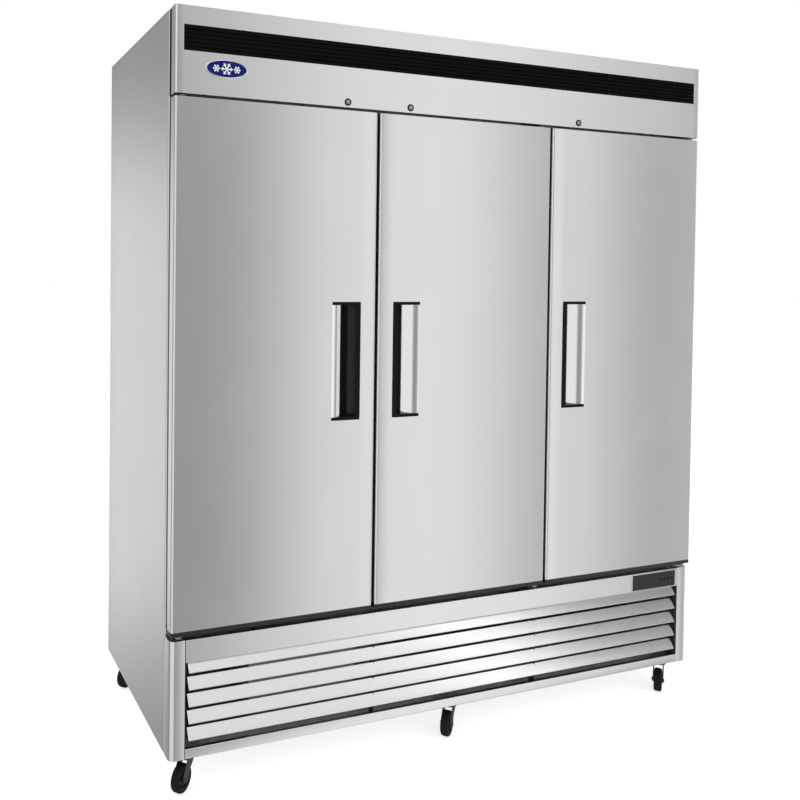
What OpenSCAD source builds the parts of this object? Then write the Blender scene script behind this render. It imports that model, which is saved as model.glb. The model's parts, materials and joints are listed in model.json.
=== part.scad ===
// Three-door reach-in refrigerator on casters, with its refrigeration unit in the base.
// Millimetres. Origin on the floor under the middle of the cabinet, front towards -Y, +Z up.

/* [Overall] */
// Width across the side panels
width = 1830; // [1780:5:1900]
// Depth from the lock faces to the rear bumpers
depth = 790; // [770:5:830]
// Height from the floor to the top panel
height = 2115; // [2080:5:2160]

/* [Cabinet] */
// Height of the cabinet's bottom edge, which is also the height of a caster
base_z = 105; // [103:1:110]
// Height of the lower edge of the door skins
door_z = 455; // [450:1:470]
// Height of the header above the doors
header_h = 231; // [225:1:240]
// Thickness of the insulated walls
wall = 46; // [46:1:50]
// Thickness of the stainless sheet
sheet = 1.2; // [1.0:0.1:1.5]
// Width of the posts beside the grille
post_w = 44; // [40:1:50]

/* [Doors] */
// Thickness of a door without its gasket
door_t = 48; // [46:1:54]
// Gap between doors, and between doors and header
door_gap = 8; // [8:0.5:10]
// Radius of the doors' vertical edges
door_r = 7; // [5:1:10]
// Height of a handle
handle_h = 337; // [300:1:380]
// Width of a handle
handle_w = 90; // [76:1:96]

/* [Casters] */
// Diameter of a wheel
wheel_d = 75; // [70:1:75]
// Distance from a caster's swivel axis to its axle
caster_trail = 28; // [26:1:30]
// Direction in which the wheels trail, from +X
caster_yaw = 221; // [0:1:359]

/* [Hidden] */
LEFT = 0;
MIDDLE = 1;
RIGHT = 2;
$fn = 48;
eps = 0.01;

// Depth planes, front to back
lock_proud = 3;
bumper_t = 6;
gasket_room = 12;
front_y = -depth / 2 + lock_proud;
frame_y = front_y + door_t + gasket_room;
back_y = depth / 2 - bumper_t;
frame_t = 22;
frame_front = frame_y + sheet;
liner_front = frame_front + frame_t;
liner_back = back_y - wall;
mullion_back = liner_front + 28;

// Doors
door_w = (width - 2 * door_gap) / 3;
door_pitch = door_w + door_gap;
door_x = [-door_pitch, 0, door_pitch];
hinge_side = [-1, 1, 1];
header_z = height - header_h;
door_top = header_z - door_gap;
cap_drop = 12;
cap_plug = 10;
top_cap_t = 20;
wrap = 34;
land = 48;
pivot_in = 26;
pivot_y = 16;
pin_r = 5;
foot_pin_r = 6;
pin_play = 0.08;
hinge_plate_r = 10;
lock_in = 98;
handle_in = 49;
handle_z = 1166;
handle_bar = 15;
handle_arm = 9;
handle_depth = 33;

// Inside of the cabinet
side_fold_r = 4;
clear_x = width / 2 - side_fold_r - 0.05;
inner_x = width / 2 - wall;
floor_z = door_z + land - 2;
ceiling_z = height - 60;
deck_z = floor_z - wall;
mullion_x = door_pitch / 2;
opening_w = door_w - 2 * land;
opening_z0 = door_z + land;
opening_z1 = door_top - land;

// Header
louvre_drop = 50;
louvre_h = 68;
louvre_margin = 24;
louvre_ribs = 6;
lock_up = 15;
lock_r = 9;
plug_r = 6;
cam_len = 36;

// Base front
post_set = 8;
fascia_top = door_z - 27;
fascia_h = 62;
slat_count = 5;
slat_pitch = 46;
slat_depth = 18;
slat_drop = 28;
grille_bottom = fascia_top - fascia_h - slat_count * slat_pitch;
grille_w = width - 2 * post_w - 2;
panel_w = 190;
panel_h = 56;
panel_x = 766;
panel_z = fascia_top - fascia_h / 2;
key_r = 4.5;
key_travel = 0.8;

// Shelves
shelf_levels = [640, 1040, 1440];
shelf_front = mullion_back + 16;
shelf_back = liner_back - 16;
shelf_wires = 21;
standard_t = 12;
standard_w = 24;

// Refrigeration
fan_r = 82;
fan_x = 420;
fan_y = 96;
fan_z = 1952;
cover_x = 780;
cover_front = 70;
cover_z = 1852;
condenser_x = -480;
condenser_fan_r = 118;
condenser_z = 250;

// Casters
caster_x = [-849, 0, 849];
caster_y = [front_y + 60, back_y - 62];
plate_t = 3;
dish_z = base_z - 9;
wheel_r = wheel_d / 2;
wheel_w = 24;
axle_r = 4;
kingpin_r = 5;

// ---------- Shared shapes ----------

// A box from one corner to the opposite one.
module box(low, high) {
    translate(low) cube(high - low);
}

// Plan outline with its two front corners rounded: face on y = 0, back on y = d.
module front_rounded(w, d, r) {
    translate([-w / 2, r]) square([w, d - r]);
    translate([-w / 2 + r, 0]) square([w - 2 * r, r + eps]);
    for (side = [-1, 1]) {
        translate([side * (w / 2 - r), r]) circle(r);
    }
}

// Folded sheet with a face and two side flanges.
module u_sheet(w, d, r, t) {
    difference() {
        front_rounded(w, d, r);
        translate([0, t]) front_rounded(w - 2 * t, d, r - t);
    }
}

// Moves a door's local frame, with its face on y = 0 and its hinges on +X, to door i.
module at_door(i) {
    translate([door_x[i], front_y, 0]) mirror([hinge_side[i] > 0 ? 0 : 1, 0, 0]) children();
}

// ---------- Cabinet shell ----------

// Side panel on -X, with its front and back edges folded in.
module side_panel_shape() {
    fold = 14;
    translate([-width / 2, (frame_y + back_y) / 2, base_z]) rotate([0, 0, -90]) {
        linear_extrude(height - base_z) u_sheet(back_y - frame_y, fold, side_fold_r, sheet);
    }
}

module left_side_panel() {
    color("silver") side_panel_shape();
}

module right_side_panel() {
    color("silver") mirror([1, 0, 0]) side_panel_shape();
}

// Back sheet with vent slots in front of the machine space, a cord inlet and two bumpers.
module back_panel() {
    slots = 14;
    slot_pitch = 46;
    slot_h = 150;
    inlet_r = 14;
    inlet_x = 760;
    inlet_z = 190;
    bumper_w = 60;
    color("silver") {
        difference() {
            box([-clear_x, back_y - 2 * sheet, base_z], [clear_x, back_y - sheet, height - sheet]);
            for (k = [0 : slots - 1]) {
                x = (k - (slots - 1) / 2) * slot_pitch;
                box([x - 6, back_y - 5, base_z + 90], [x + 6, back_y + 1, base_z + 90 + slot_h]);
            }
            translate([inlet_x, back_y + 1, inlet_z]) rotate([90, 0, 0]) cylinder(r = inlet_r, h = 6);
        }
        translate([inlet_x, back_y + 3, inlet_z]) rotate([90, 0, 0]) difference() {
            union() {
                cylinder(r = inlet_r, h = 14);
                cylinder(r = inlet_r + 6, h = 3 + sheet);
            }
            translate([0, 0, -1]) cylinder(r = inlet_r - 5, h = 20);
        }
        for (side = [-1, 1]) {
            box([side * 500 - bumper_w / 2, back_y - sheet, height - 260],
                [side * 500 + bumper_w / 2, back_y + bumper_t, height - 230]);
        }
    }
}

module top_panel() {
    color("silver") box([-clear_x, frame_front + eps, height - sheet], [clear_x, back_y - sheet, height]);
}

// Foam between the outer sheets and the liner.
module insulation() {
    color("khaki") difference() {
        box([-clear_x, liner_front, deck_z], [clear_x, back_y - 2 * sheet - 0.1, height - sheet - 0.1]);
        box([-inner_x - 1, liner_front - 1, floor_z - 1], [inner_x + 1, liner_back + 1, ceiling_z + 1]);
    }
}

module inner_liner() {
    color("whitesmoke") difference() {
        box([-inner_x - 1, liner_front, floor_z - 1], [inner_x + 1, liner_back + 1, ceiling_z + 1]);
        box([-inner_x, liner_front - 1, floor_z], [inner_x, liner_back, ceiling_z]);
    }
}

// Front frame with its three door openings and the two mullions between them.
module front_frame() {
    low = fascia_top - 38;
    color("silver") difference() {
        union() {
            box([-clear_x, frame_front, low], [clear_x, liner_front, height - sheet - 0.1]);
            for (x = [-mullion_x, mullion_x]) {
                box([x - land - door_gap / 2, liner_front - eps, floor_z],
                    [x + land + door_gap / 2, mullion_back, opening_z1 + 20]);
            }
        }
        for (i = [LEFT, MIDDLE, RIGHT]) {
            box([door_x[i] - opening_w / 2, frame_y - 1, opening_z0],
                [door_x[i] + opening_w / 2, mullion_back + 1, opening_z1]);
        }
    }
}

// ---------- Header ----------

// Folded stainless cover over the doors, with the louvre window, lock holes and cam slots.
module header_panel() {
    flange = 44;
    louvre_top = height - louvre_drop;
    color("silver") difference() {
        translate([0, front_y, header_z]) union() {
            linear_extrude(header_h) u_sheet(width, wrap, door_r, sheet);
            linear_extrude(sheet) front_rounded(width, flange, door_r);
            translate([0, 0, header_h - sheet]) linear_extrude(sheet) {
                front_rounded(width, frame_y - front_y - 0.1, door_r);
            }
        }
        box([-width / 2 + louvre_margin, front_y - 1, louvre_top - louvre_h],
            [width / 2 - louvre_margin, front_y + sheet + 1, louvre_top]);
        for (i = [LEFT, MIDDLE, RIGHT]) {
            at_door(i) translate([-door_w / 2 + lock_in, 0, header_z]) {
                translate([0, 3, lock_up]) rotate([90, 0, 0]) cylinder(r = lock_r, h = 5);
                box([-9, 19, -1], [cam_len + 4, 30, sheet + 1]);
            }
        }
    }
}

// Black louvre strip in the header, and the black spacers behind the header's ends.
module header_trim() {
    z0 = height - louvre_drop - louvre_h;
    half = width / 2 - louvre_margin;
    rib_pitch = louvre_h / louvre_ribs;
    color("black") {
        difference() {
            box([-half, front_y, z0], [half, front_y + 9, z0 + louvre_h]);
            for (k = [0 : louvre_ribs - 1]) {
                z = z0 + (k + 0.5) * rib_pitch;
                box([-half + 3, front_y - 1, z - rib_pitch / 2 + 2],
                    [half - 3, front_y + 4, z + rib_pitch / 2 - 2]);
            }
        }
        for (side = [-1, 1]) {
            x0 = side * (width / 2 - 2);
            x1 = side * (width / 2 - 14);
            box([min(x0, x1), front_y + wrap, header_z + sheet + 0.1],
                [max(x0, x1), frame_y - 0.2, height - sheet - 0.1]);
        }
    }
}

// Plain oval badge with a raised rim.
module badge() {
    badge_w = 122;
    badge_h = 48;
    color("navy") translate([-width / 2 + 143, front_y, header_z + 73]) rotate([90, 0, 0]) {
        difference() {
            resize([badge_w, badge_h, 2]) cylinder(r = badge_h / 2, h = 2, $fn = 64);
            translate([0, 0, 1.4]) resize([badge_w - 8, badge_h - 8, 1]) {
                cylinder(r = badge_h / 2 - 4, h = 1, $fn = 64);
            }
        }
    }
}

// Fixed lock barrels in the header.
module lock_bodies() {
    color("gray") for (i = [LEFT, MIDDLE, RIGHT]) {
        at_door(i) translate([-door_w / 2 + lock_in, 0, header_z + lock_up]) rotate([-90, 0, 0]) {
            difference() {
                union() {
                    translate([0, 0, -2.5]) cylinder(r = lock_r + 1.5, h = 2.5);
                    translate([0, 0, -eps]) cylinder(r = lock_r, h = 22);
                }
                translate([0, 0, -4]) cylinder(r = plug_r + 0.05, h = 40);
            }
        }
    }
}

// Turning plug of one lock, with its cam lying level in the unlocked position.
module lock_plug(i) {
    color("silver") at_door(i) translate([-door_w / 2 + lock_in, 0, header_z + lock_up]) {
        difference() {
            translate([0, -2.8, 0]) rotate([-90, 0, 0]) cylinder(r = plug_r, h = 28.8);
            box([-1, -4, -4], [1, 3, 4]);
        }
        box([0, 23, -6], [cam_len, 26, 6]);
    }
}

// ---------- Base front ----------

// Section of one grille slat, leaning out at the bottom with a folded lip.
module slat_section() {
    t = sheet;
    lip = slat_drop + 2;
    polygon([
        [slat_depth, 0], [slat_depth - t, 0], [0, -slat_drop], [0, -lip],
        [9, -lip], [9, t - lip], [t * 1.5, t - lip], [slat_depth, -t * 1.5],
    ]);
}

// Fascia, slanted slats, bottom rail and end plates, as one folded assembly.
module grille_panel() {
    slat_top = fascia_top - fascia_h;
    half = grille_w / 2;
    face_y = front_y + post_set;
    rail_gap = 4;
    color("silver") difference() {
        union() {
            box([-half, face_y, slat_top], [half, face_y + sheet, fascia_top]);
            box([-half, face_y, fascia_top - sheet], [half, face_y + 42, fascia_top]);
            box([-half, face_y, slat_top], [half, face_y + slat_depth, slat_top + sheet]);
            for (k = [0 : slat_count - 1]) {
                translate([-half, face_y, slat_top - k * slat_pitch]) {
                    rotate([90, 0, 90]) linear_extrude(2 * half) slat_section();
                }
            }
            box([-half, face_y, base_z], [half, face_y + sheet, grille_bottom - rail_gap]);
            box([-half, face_y, base_z], [half, face_y + 42, base_z + sheet]);
            for (x = [-half, -half / 3, half / 3, half - 2]) {
                box([x, face_y + slat_depth - 2, base_z], [x + 2, face_y + 42, fascia_top]);
            }
        }
        box([panel_x - panel_w / 2, face_y - 1, panel_z - panel_h / 2],
            [panel_x + panel_w / 2, face_y + slat_depth - 3, panel_z + panel_h / 2]);
    }
}

// Rounded corner posts at both ends of the grille.
module corner_posts() {
    post_r = 16;
    post_d = 46;
    color("silver") for (side = [0, 1]) {
        mirror([side, 0, 0]) intersection() {
            translate([0, front_y + post_set, base_z]) union() {
                linear_extrude(fascia_top - base_z) u_sheet(width, post_d, post_r, sheet);
                linear_extrude(sheet) front_rounded(width, post_d, post_r);
                translate([0, 0, fascia_top - base_z - sheet]) linear_extrude(sheet) {
                    front_rounded(width, post_d, post_r);
                }
                box([-width / 2 + post_w - sheet, 0, 0],
                    [-width / 2 + post_w, post_d, fascia_top - base_z]);
            }
            box([-width / 2, front_y, base_z], [-width / 2 + post_w, front_y + 80, fascia_top]);
        }
    }
}

// Moves to the middle of the control window, with the fascia's face on y = 0.
module at_panel() {
    translate([panel_x, front_y + post_set, panel_z]) children();
}

key_x = [30, 46, 62, 78];

// Gloss black control window with its housing and four key holes.
module control_panel() {
    color("black") at_panel() difference() {
        box([-panel_w / 2, -1, -panel_h / 2], [panel_w / 2, slat_depth - 3.2, panel_h / 2]);
        for (x = key_x) {
            translate([x, 6, 0]) rotate([90, 0, 0]) cylinder(r = key_r + 0.3, h = 10);
        }
    }
}

// Round key k of the control window.
module panel_key(k) {
    color("dimgray") at_panel() translate([key_x[k], 5, 0]) rotate([90, 0, 0]) {
        cylinder(r = key_r, h = 6.2);
    }
}

// ---------- Base ----------

// Base pan, beams over the casters, uprights and the deck under the insulated box.
module base_frame() {
    half = clear_x;
    y0 = frame_front;
    y1 = back_y - 2 * sheet - 0.3;
    rim = 30;
    post = 24;
    t = 2;
    color("gray") {
        difference() {
            box([-half, y0, base_z], [half, y1, base_z + rim]);
            box([-half + t, y0 + t, base_z + t], [half - t, y1 - t, base_z + rim + 1]);
        }
        box([-half + 16, front_y + post_set + 46.2, base_z], [half - 16, y0 + eps, base_z + t]);
        for (x = [-half, half - post], y = [liner_front + 1, y1 - post]) {
            box([x, y, base_z + t - eps], [x + post, y + post, deck_z - t + eps]);
        }
        box([-half, liner_front + 0.5, deck_z - t], [half, y1, deck_z - 0.1]);
    }
}

// Section of a hinge plate: a round end at the pin and a tail to the front frame.
module hinge_plate_outline() {
    circle(hinge_plate_r);
    translate([-hinge_plate_r, 0]) square([2 * hinge_plate_r, frame_front - front_y - pivot_y]);
}

// Top and bottom hinge brackets of every door, with their pins.
module hinge_brackets() {
    leg_y = frame_front - front_y - pivot_y;
    leg_t = 3.2;
    pin_top = 18;
    foot_z = door_z - cap_drop;
    r = hinge_plate_r;
    color("gray") for (i = [LEFT, MIDDLE, RIGHT]) {
        at_door(i) translate([door_w / 2 - pivot_in, pivot_y, 0]) {
            translate([0, 0, door_top + 2]) linear_extrude(4) hinge_plate_outline();
            translate([0, 0, door_top - pin_top]) cylinder(r = pin_r, h = pin_top + 3);
            box([-r, leg_y - leg_t, door_top + 5], [r, leg_y, header_z + 40]);
            translate([0, 0, foot_z - 9]) linear_extrude(5) hinge_plate_outline();
            translate([0, 0, foot_z - 5]) cylinder(r = r - 1, h = 4.5);
            translate([0, 0, foot_z - 5]) cylinder(r = foot_pin_r, h = 23);
            box([-r, leg_y - leg_t, fascia_top - 36], [r, leg_y, foot_z - 5]);
        }
    }
}

// ---------- Doors ----------

// Depth of a handle's scoop at u from the free edge's side: deepest by the bar, flush at the far end.
function scoop_depth(u) = let (rise = max(0, (u - 2 * handle_bar) / (handle_w - 2 * handle_bar)))
    (handle_depth - sheet) * pow(1 - rise, 2);

// Plan line of the scoop from the bar to its far end, moved back by an offset.
function scoop_line(offset) = [
    for (k = [0 : 16]) let (u = handle_bar + (handle_w - handle_bar) * k / 16) [u, scoop_depth(u) + offset],
];

// Moves to the free-edge side of the handle on a door's face.
module at_handle() {
    translate([-door_w / 2 + handle_in, 0, handle_z]) children();
}

// Black bezel with its bar and two arms, and the polished scoop between the arms.
module door_handle(i) {
    half = handle_h / 2;
    face = scoop_line(0);
    back = scoop_line(sheet);
    color("black") at_door(i) at_handle() {
        box([0, -1, -half], [handle_bar, handle_depth, half]);
        for (z = [-half, half - handle_arm]) {
            translate([-eps, 0, z]) linear_extrude(handle_arm) {
                polygon([
                    [handle_bar, -1], [handle_w, -1], back[16], back[12], back[8], [handle_bar, handle_depth],
                ]);
            }
        }
    }
    color("lightgray") at_door(i) at_handle() {
        slip = 0.05;
        translate([slip, 0, -half + handle_arm + slip]) linear_extrude(handle_h - 2 * (handle_arm + slip)) {
            polygon(concat(face, [for (k = [16 : -1 : 0]) back[k]]));
        }
    }
}

// Stainless skin of a door, with the handle's cutout.
module door_skin(i) {
    color("silver") at_door(i) difference() {
        translate([0, 0, door_z]) linear_extrude(door_top - door_z) u_sheet(door_w, wrap, door_r, sheet);
        at_handle() box([-0.1, -2, -handle_h / 2 - 0.1], [handle_w + 0.1, 5, handle_h / 2 + 0.1]);
    }
}

// Foam core with the inner panel bonded to it, and the pocket for the handle.
module door_core(i) {
    low = door_z + cap_plug;
    high = door_top - top_cap_t;
    color("gainsboro") at_door(i) difference() {
        union() {
            translate([0, sheet + 0.1, low]) linear_extrude(high - low) {
                front_rounded(door_w - 2 * sheet - 0.2, wrap - sheet, door_r - sheet);
            }
            box([-door_w / 2, wrap + 0.1, low], [door_w / 2, door_t, high]);
        }
        at_handle() box([-0.2, -2, -handle_h / 2 - 0.2],
            [handle_w + 0.2, handle_depth + 0.2, handle_h / 2 + 0.2]);
    }
}

// Black plastic caps that close a door's top and bottom, with the hinge bores and the lock slot.
module door_caps(i) {
    in_w = door_w - 2 * sheet - 0.2;
    in_r = door_r - sheet;
    color("black") at_door(i) {
        difference() {
            union() {
                translate([0, 0, door_z - cap_drop]) linear_extrude(cap_drop) {
                    front_rounded(door_w, door_t, door_r);
                }
                translate([0, sheet + 0.1, door_z - eps]) linear_extrude(cap_plug) {
                    front_rounded(in_w, door_t - sheet - 0.1, in_r);
                }
            }
            translate([door_w / 2 - pivot_in, pivot_y, door_z - cap_drop - 1]) {
                cylinder(r = foot_pin_r + pin_play, h = 21);
            }
        }
        difference() {
            translate([0, sheet + 0.1, door_top - top_cap_t]) linear_extrude(top_cap_t) {
                front_rounded(in_w, door_t - sheet - 0.1, in_r);
            }
            translate([door_w / 2 - pivot_in, pivot_y, door_top - 19]) {
                cylinder(r = pin_r + pin_play, h = 25);
            }
            box([-door_w / 2 + lock_in - 9, 20, door_top - 16],
                [-door_w / 2 + lock_in + cam_len, 29, door_top + 1]);
        }
    }
}

// Magnetic gasket round the inside of a door.
module door_gasket(i) {
    inset = 23;
    strip = 15;
    low = door_z + inset;
    high = door_top - inset;
    x = door_w / 2 - inset;
    color("dimgray") at_door(i) difference() {
        box([-x, door_t, low], [x, door_t + gasket_room + sheet - 0.4, high]);
        box([-x + strip, door_t - 1, low + strip], [x - strip, door_t + 20, high - strip]);
    }
}

// ---------- Inside ----------

// Left and right limits of a section's shelves.
shelf_x0 = [-inner_x + standard_t + 2, -mullion_x + 6, mullion_x + 6];
shelf_x1 = [-mullion_x - 6, mullion_x - 6, inner_x - standard_t - 2];

// One wire shelf: a rectangular frame with a cross bar, and wires laid on it.
module shelf(x0, x1, z) {
    bar = 8;
    wire = 4;
    mid = (shelf_front + shelf_back) / 2;
    step = (x1 - x0 - wire) / (shelf_wires - 1);
    difference() {
        box([x0, shelf_front, z], [x1, shelf_back, z + bar]);
        box([x0 + bar, shelf_front + bar, z - 1], [x1 - bar, mid - bar / 2, z + bar + 1]);
        box([x0 + bar, mid + bar / 2, z - 1], [x1 - bar, shelf_back - bar, z + bar + 1]);
    }
    for (k = [0 : shelf_wires - 1]) {
        x = x0 + k * step;
        box([x, shelf_front, z + bar - eps], [x + wire, shelf_back, z + bar + wire]);
    }
}

module shelves() {
    color("lightgray") for (i = [LEFT, MIDDLE, RIGHT], z = shelf_levels) {
        shelf(shelf_x0[i], shelf_x1[i], z);
    }
}

// Upright channel for shelf clips, open towards +Y, with its back on y = 0.
module standard() {
    low = floor_z + 20;
    high = cover_z - 60;
    difference() {
        box([-standard_w / 2, 0, low], [standard_w / 2, standard_t, high]);
        box([-standard_w / 2 + 2, 1.5, low - 1], [standard_w / 2 - 2, standard_t + 1, high + 1]);
    }
    for (z = shelf_levels) {
        box([-standard_w / 2 - 8, standard_t, z - 12], [standard_w / 2 + 8, standard_t + 18, z]);
    }
}

// Shelf standards on the side walls, the mullions and the rear wall, each with its clips.
module shelf_supports() {
    side_y = [shelf_front + 60, shelf_back - 60];
    color("gray") {
        for (y = side_y) {
            translate([-inner_x, y, 0]) rotate([0, 0, -90]) standard();
            translate([inner_x, y, 0]) rotate([0, 0, 90]) standard();
        }
        for (x = [-mullion_x, mullion_x]) {
            translate([x, mullion_back, 0]) standard();
            translate([x, liner_back, 0]) rotate([0, 0, 180]) standard();
        }
    }
}

// Cover over the evaporator at the ceiling, with two fan openings and a light bar below it.
module evaporator_cover() {
    t = 1.5;
    color("whitesmoke") {
        difference() {
            box([-cover_x, cover_front, cover_z], [cover_x, liner_back, ceiling_z]);
            box([-cover_x + t, cover_front + t, cover_z + t], [cover_x - t, liner_back + 1, ceiling_z + 1]);
            for (x = [-fan_x, fan_x]) {
                translate([x, cover_front - 1, fan_z]) rotate([-90, 0, 0]) cylinder(r = fan_r + 5, h = 5);
            }
        }
        for (x = [-fan_x, fan_x]) {
            translate([x, fan_y + 16, fan_z]) rotate([-90, 0, 0]) {
                cylinder(r = 26, h = 40);
                translate([0, 0, -6]) cylinder(r = 4, h = 7);
            }
            box([x - 5, fan_y + 30, cover_z + t - eps], [x + 5, fan_y + 36, ceiling_z]);
        }
        box([-640, liner_front + 10, ceiling_z - 22], [640, liner_front + 40, ceiling_z]);
    }
}

// Finned block with its tube bends.
module coil(w, d, h, rows) {
    pitch = h / rows;
    translate([-w / 2, -d / 2, 0]) cube([w, d, h]);
    for (side = [0, 1], k = [0 : rows - 1]) {
        mirror([side, 0, 0]) translate([w / 2 - eps, 0, (k + 0.5) * pitch]) {
            rotate([0, 0, -90]) rotate_extrude(angle = 180) translate([d / 4, 0]) circle(4.5);
        }
    }
}

module evaporator_coil() {
    color("gainsboro") translate([0, liner_back - 90, cover_z + 1.5]) coil(1440, 90, 170, 5);
}

// Bladed rotor with its axis on +Y: a hub and tilted blades cut to a circle.
module rotor(r, hub_r, blades, hub_h) {
    rotate([-90, 0, 0]) {
        difference() {
            cylinder(r = hub_r, h = hub_h, center = true);
            translate([0, 0, hub_h / 2 - 8]) cylinder(r = 4.08, h = 20);
        }
        intersection() {
            cylinder(r = r, h = 60, center = true);
            for (k = [0 : blades - 1]) {
                rotate([0, 0, k * 360 / blades]) translate([hub_r - 3, 0, 0]) rotate([32, 0, 0]) {
                    translate([0, -hub_r * 0.8, -1]) cube([r, hub_r * 1.6, 2]);
                }
            }
        }
    }
}

module evaporator_fan(side) {
    color("dimgray") translate([side * fan_x, fan_y, fan_z]) rotor(fan_r, 24, 5, 30);
}

// Condenser coil behind the grille, with its fan shroud.
module condenser_coil() {
    w = 340;
    h = 260;
    y = liner_front + 50;
    color("gray") {
        translate([condenser_x, y, condenser_z - h / 2]) coil(w, 44, h, 6);
        translate([condenser_x, y + 22, condenser_z]) difference() {
            box([-w / 2, 0, -h / 2], [w / 2, 46, h / 2]);
            box([-w / 2 + 2, -1, -h / 2 + 2], [w / 2 - 2, 44, h / 2 - 2]);
            rotate([-90, 0, 0]) cylinder(r = condenser_fan_r + 5, h = 60);
        }
    }
}

condenser_fan_y = liner_front + 122;

module condenser_fan() {
    color("dimgray") translate([condenser_x, condenser_fan_y, condenser_z]) rotor(condenser_fan_r, 34, 5, 30);
}

// Compressor, receiver, fan motor, electrical box and drain pan on the base.
module condensing_unit() {
    deck = base_z + 2;
    r = 95;
    color("dimgray") {
        translate([condenser_x, 70, deck]) {
            box([-130, -110, 0], [130, 110, 4]);
            translate([0, 0, 4 - eps]) cylinder(r = 12, h = 26);
            translate([0, 0, 24]) rotate_extrude() intersection() {
                square([r, 230]);
                union() {
                    translate([0, 50]) scale([1, 0.5]) circle(r, $fn = 64);
                    translate([0, 50]) square([r, 110]);
                    translate([0, 160]) scale([1, 0.5]) circle(r, $fn = 64);
                }
            }
        }
        translate([-180, 120, deck]) {
            cylinder(r = 50, h = 180);
            translate([0, 0, 180 - eps]) cylinder(r = 10, h = 20);
        }
        box([560, liner_front + 70, deck], [800, liner_front + 230, deck + 150]);
        difference() {
            box([40, 30, deck], [460, 300, deck + 60]);
            box([42, 32, deck + 2], [458, 298, deck + 61]);
        }
        translate([condenser_x, condenser_fan_y, condenser_z]) rotate([-90, 0, 0]) {
            translate([0, 0, 18]) cylinder(r = 30, h = 34);
            translate([0, 0, 8]) cylinder(r = 4, h = 11);
        }
        box([condenser_x - 8, condenser_fan_y + 20, deck],
            [condenser_x + 8, condenser_fan_y + 30, condenser_z - 29]);
    }
}

// ---------- Casters ----------

// Top plates with bolt heads, fixed dish and kingpin of all six casters.
module caster_plates() {
    color("dimgray") for (x = caster_x, y = caster_y) {
        translate([x, y, 0]) {
            box([-45, -32, base_z - plate_t], [45, 32, base_z]);
            translate([0, 0, dish_z]) cylinder(r = 26, h = base_z - dish_z - plate_t + eps);
            translate([0, 0, dish_z - 15]) cylinder(r = kingpin_r, h = 16);
            translate([0, 0, dish_z - 17]) cylinder(r = 8, h = 3);
            for (bx = [-36, 36], by = [-23, 23]) {
                translate([bx, by, base_z - plate_t - 4]) cylinder(r = 6, h = 4 + eps, $fn = 6);
            }
        }
    }
}

// Swivel fork: crown with the kingpin bore, two legs and the axle.
module caster_fork(x, y) {
    crown_z = dish_z - 12;
    leg_in = wheel_w / 2 + 1.5;
    leg_t = 2.5;
    color("dimgray") translate([x, y, 0]) rotate([0, 0, caster_yaw]) {
        difference() {
            union() {
                translate([0, 0, crown_z]) cylinder(r = 22, h = 11.7);
                box([-20, -leg_in - leg_t, crown_z], [20, leg_in + leg_t, crown_z + 3]);
            }
            translate([0, 0, crown_z - 1]) cylinder(r = kingpin_r + pin_play, h = 20);
        }
        for (side = [-1, 1]) {
            translate([0, side * (leg_in + leg_t / 2) + leg_t / 2, 0]) rotate([90, 0, 0]) {
                linear_extrude(leg_t) union() {
                    polygon([
                        [-20, crown_z + 3], [20, crown_z + 3],
                        [caster_trail + 9, wheel_r], [caster_trail - 9, wheel_r],
                    ]);
                    translate([caster_trail, wheel_r]) circle(9);
                }
            }
        }
        translate([caster_trail, leg_in + leg_t + 4, wheel_r]) rotate([90, 0, 0]) {
            cylinder(r = axle_r, h = 2 * (leg_in + leg_t + 4));
        }
    }
}

// Wheel with a rounded tyre, thin webs and a hub bored for the axle.
module caster_wheel(x, y) {
    r = wheel_r;
    edge = 5;
    color("black") translate([x, y, 0]) rotate([0, 0, caster_yaw]) {
        translate([caster_trail, 0, r]) rotate([90, 0, 0]) rotate_extrude() difference() {
            union() {
                translate([r - edge, wheel_w / 2 - edge]) circle(edge);
                translate([r - edge, -wheel_w / 2 + edge]) circle(edge);
                translate([r - edge, -wheel_w / 2 + edge]) square([edge, wheel_w - 2 * edge]);
                translate([r - 12, -wheel_w / 2]) square([12 - edge, wheel_w]);
                translate([4, -7]) square([r - 12, 14]);
                translate([4, -13]) square([7, 26]);
            }
            translate([-1, -20]) square([axle_r + pin_play + 1, 40]);
        }
    }
}

// ---------- Assembly ----------

left_side_panel();
right_side_panel();
back_panel();
top_panel();
insulation();
inner_liner();
front_frame();
header_panel();
header_trim();
badge();
grille_panel();
corner_posts();
base_frame();
hinge_brackets();
shelves();
shelf_supports();
evaporator_cover();
evaporator_coil();
condensing_unit();
condenser_coil();
control_panel();
panel_key(0);  // key_set
panel_key(1);  // key_up
panel_key(2);  // key_down
panel_key(3);  // key_power
lock_bodies();
lock_plug(LEFT);  // left_lock_plug
lock_plug(MIDDLE);  // middle_lock_plug
lock_plug(RIGHT);  // right_lock_plug
evaporator_fan(-1);  // left_evaporator_fan
evaporator_fan(1);  // right_evaporator_fan
condenser_fan();
door_skin(LEFT);  // left_door_skin
door_core(LEFT);  // left_door_core
door_caps(LEFT);  // left_door_caps
door_gasket(LEFT);  // left_door_gasket
door_handle(LEFT);  // left_door_handle
door_skin(MIDDLE);  // middle_door_skin
door_core(MIDDLE);  // middle_door_core
door_caps(MIDDLE);  // middle_door_caps
door_gasket(MIDDLE);  // middle_door_gasket
door_handle(MIDDLE);  // middle_door_handle
door_skin(RIGHT);  // right_door_skin
door_core(RIGHT);  // right_door_core
door_caps(RIGHT);  // right_door_caps
door_gasket(RIGHT);  // right_door_gasket
door_handle(RIGHT);  // right_door_handle
caster_plates();
caster_fork(caster_x[0], caster_y[0]);  // front_left_fork
caster_fork(caster_x[1], caster_y[0]);  // front_middle_fork
caster_fork(caster_x[2], caster_y[0]);  // front_right_fork
caster_fork(caster_x[0], caster_y[1]);  // rear_left_fork
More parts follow.
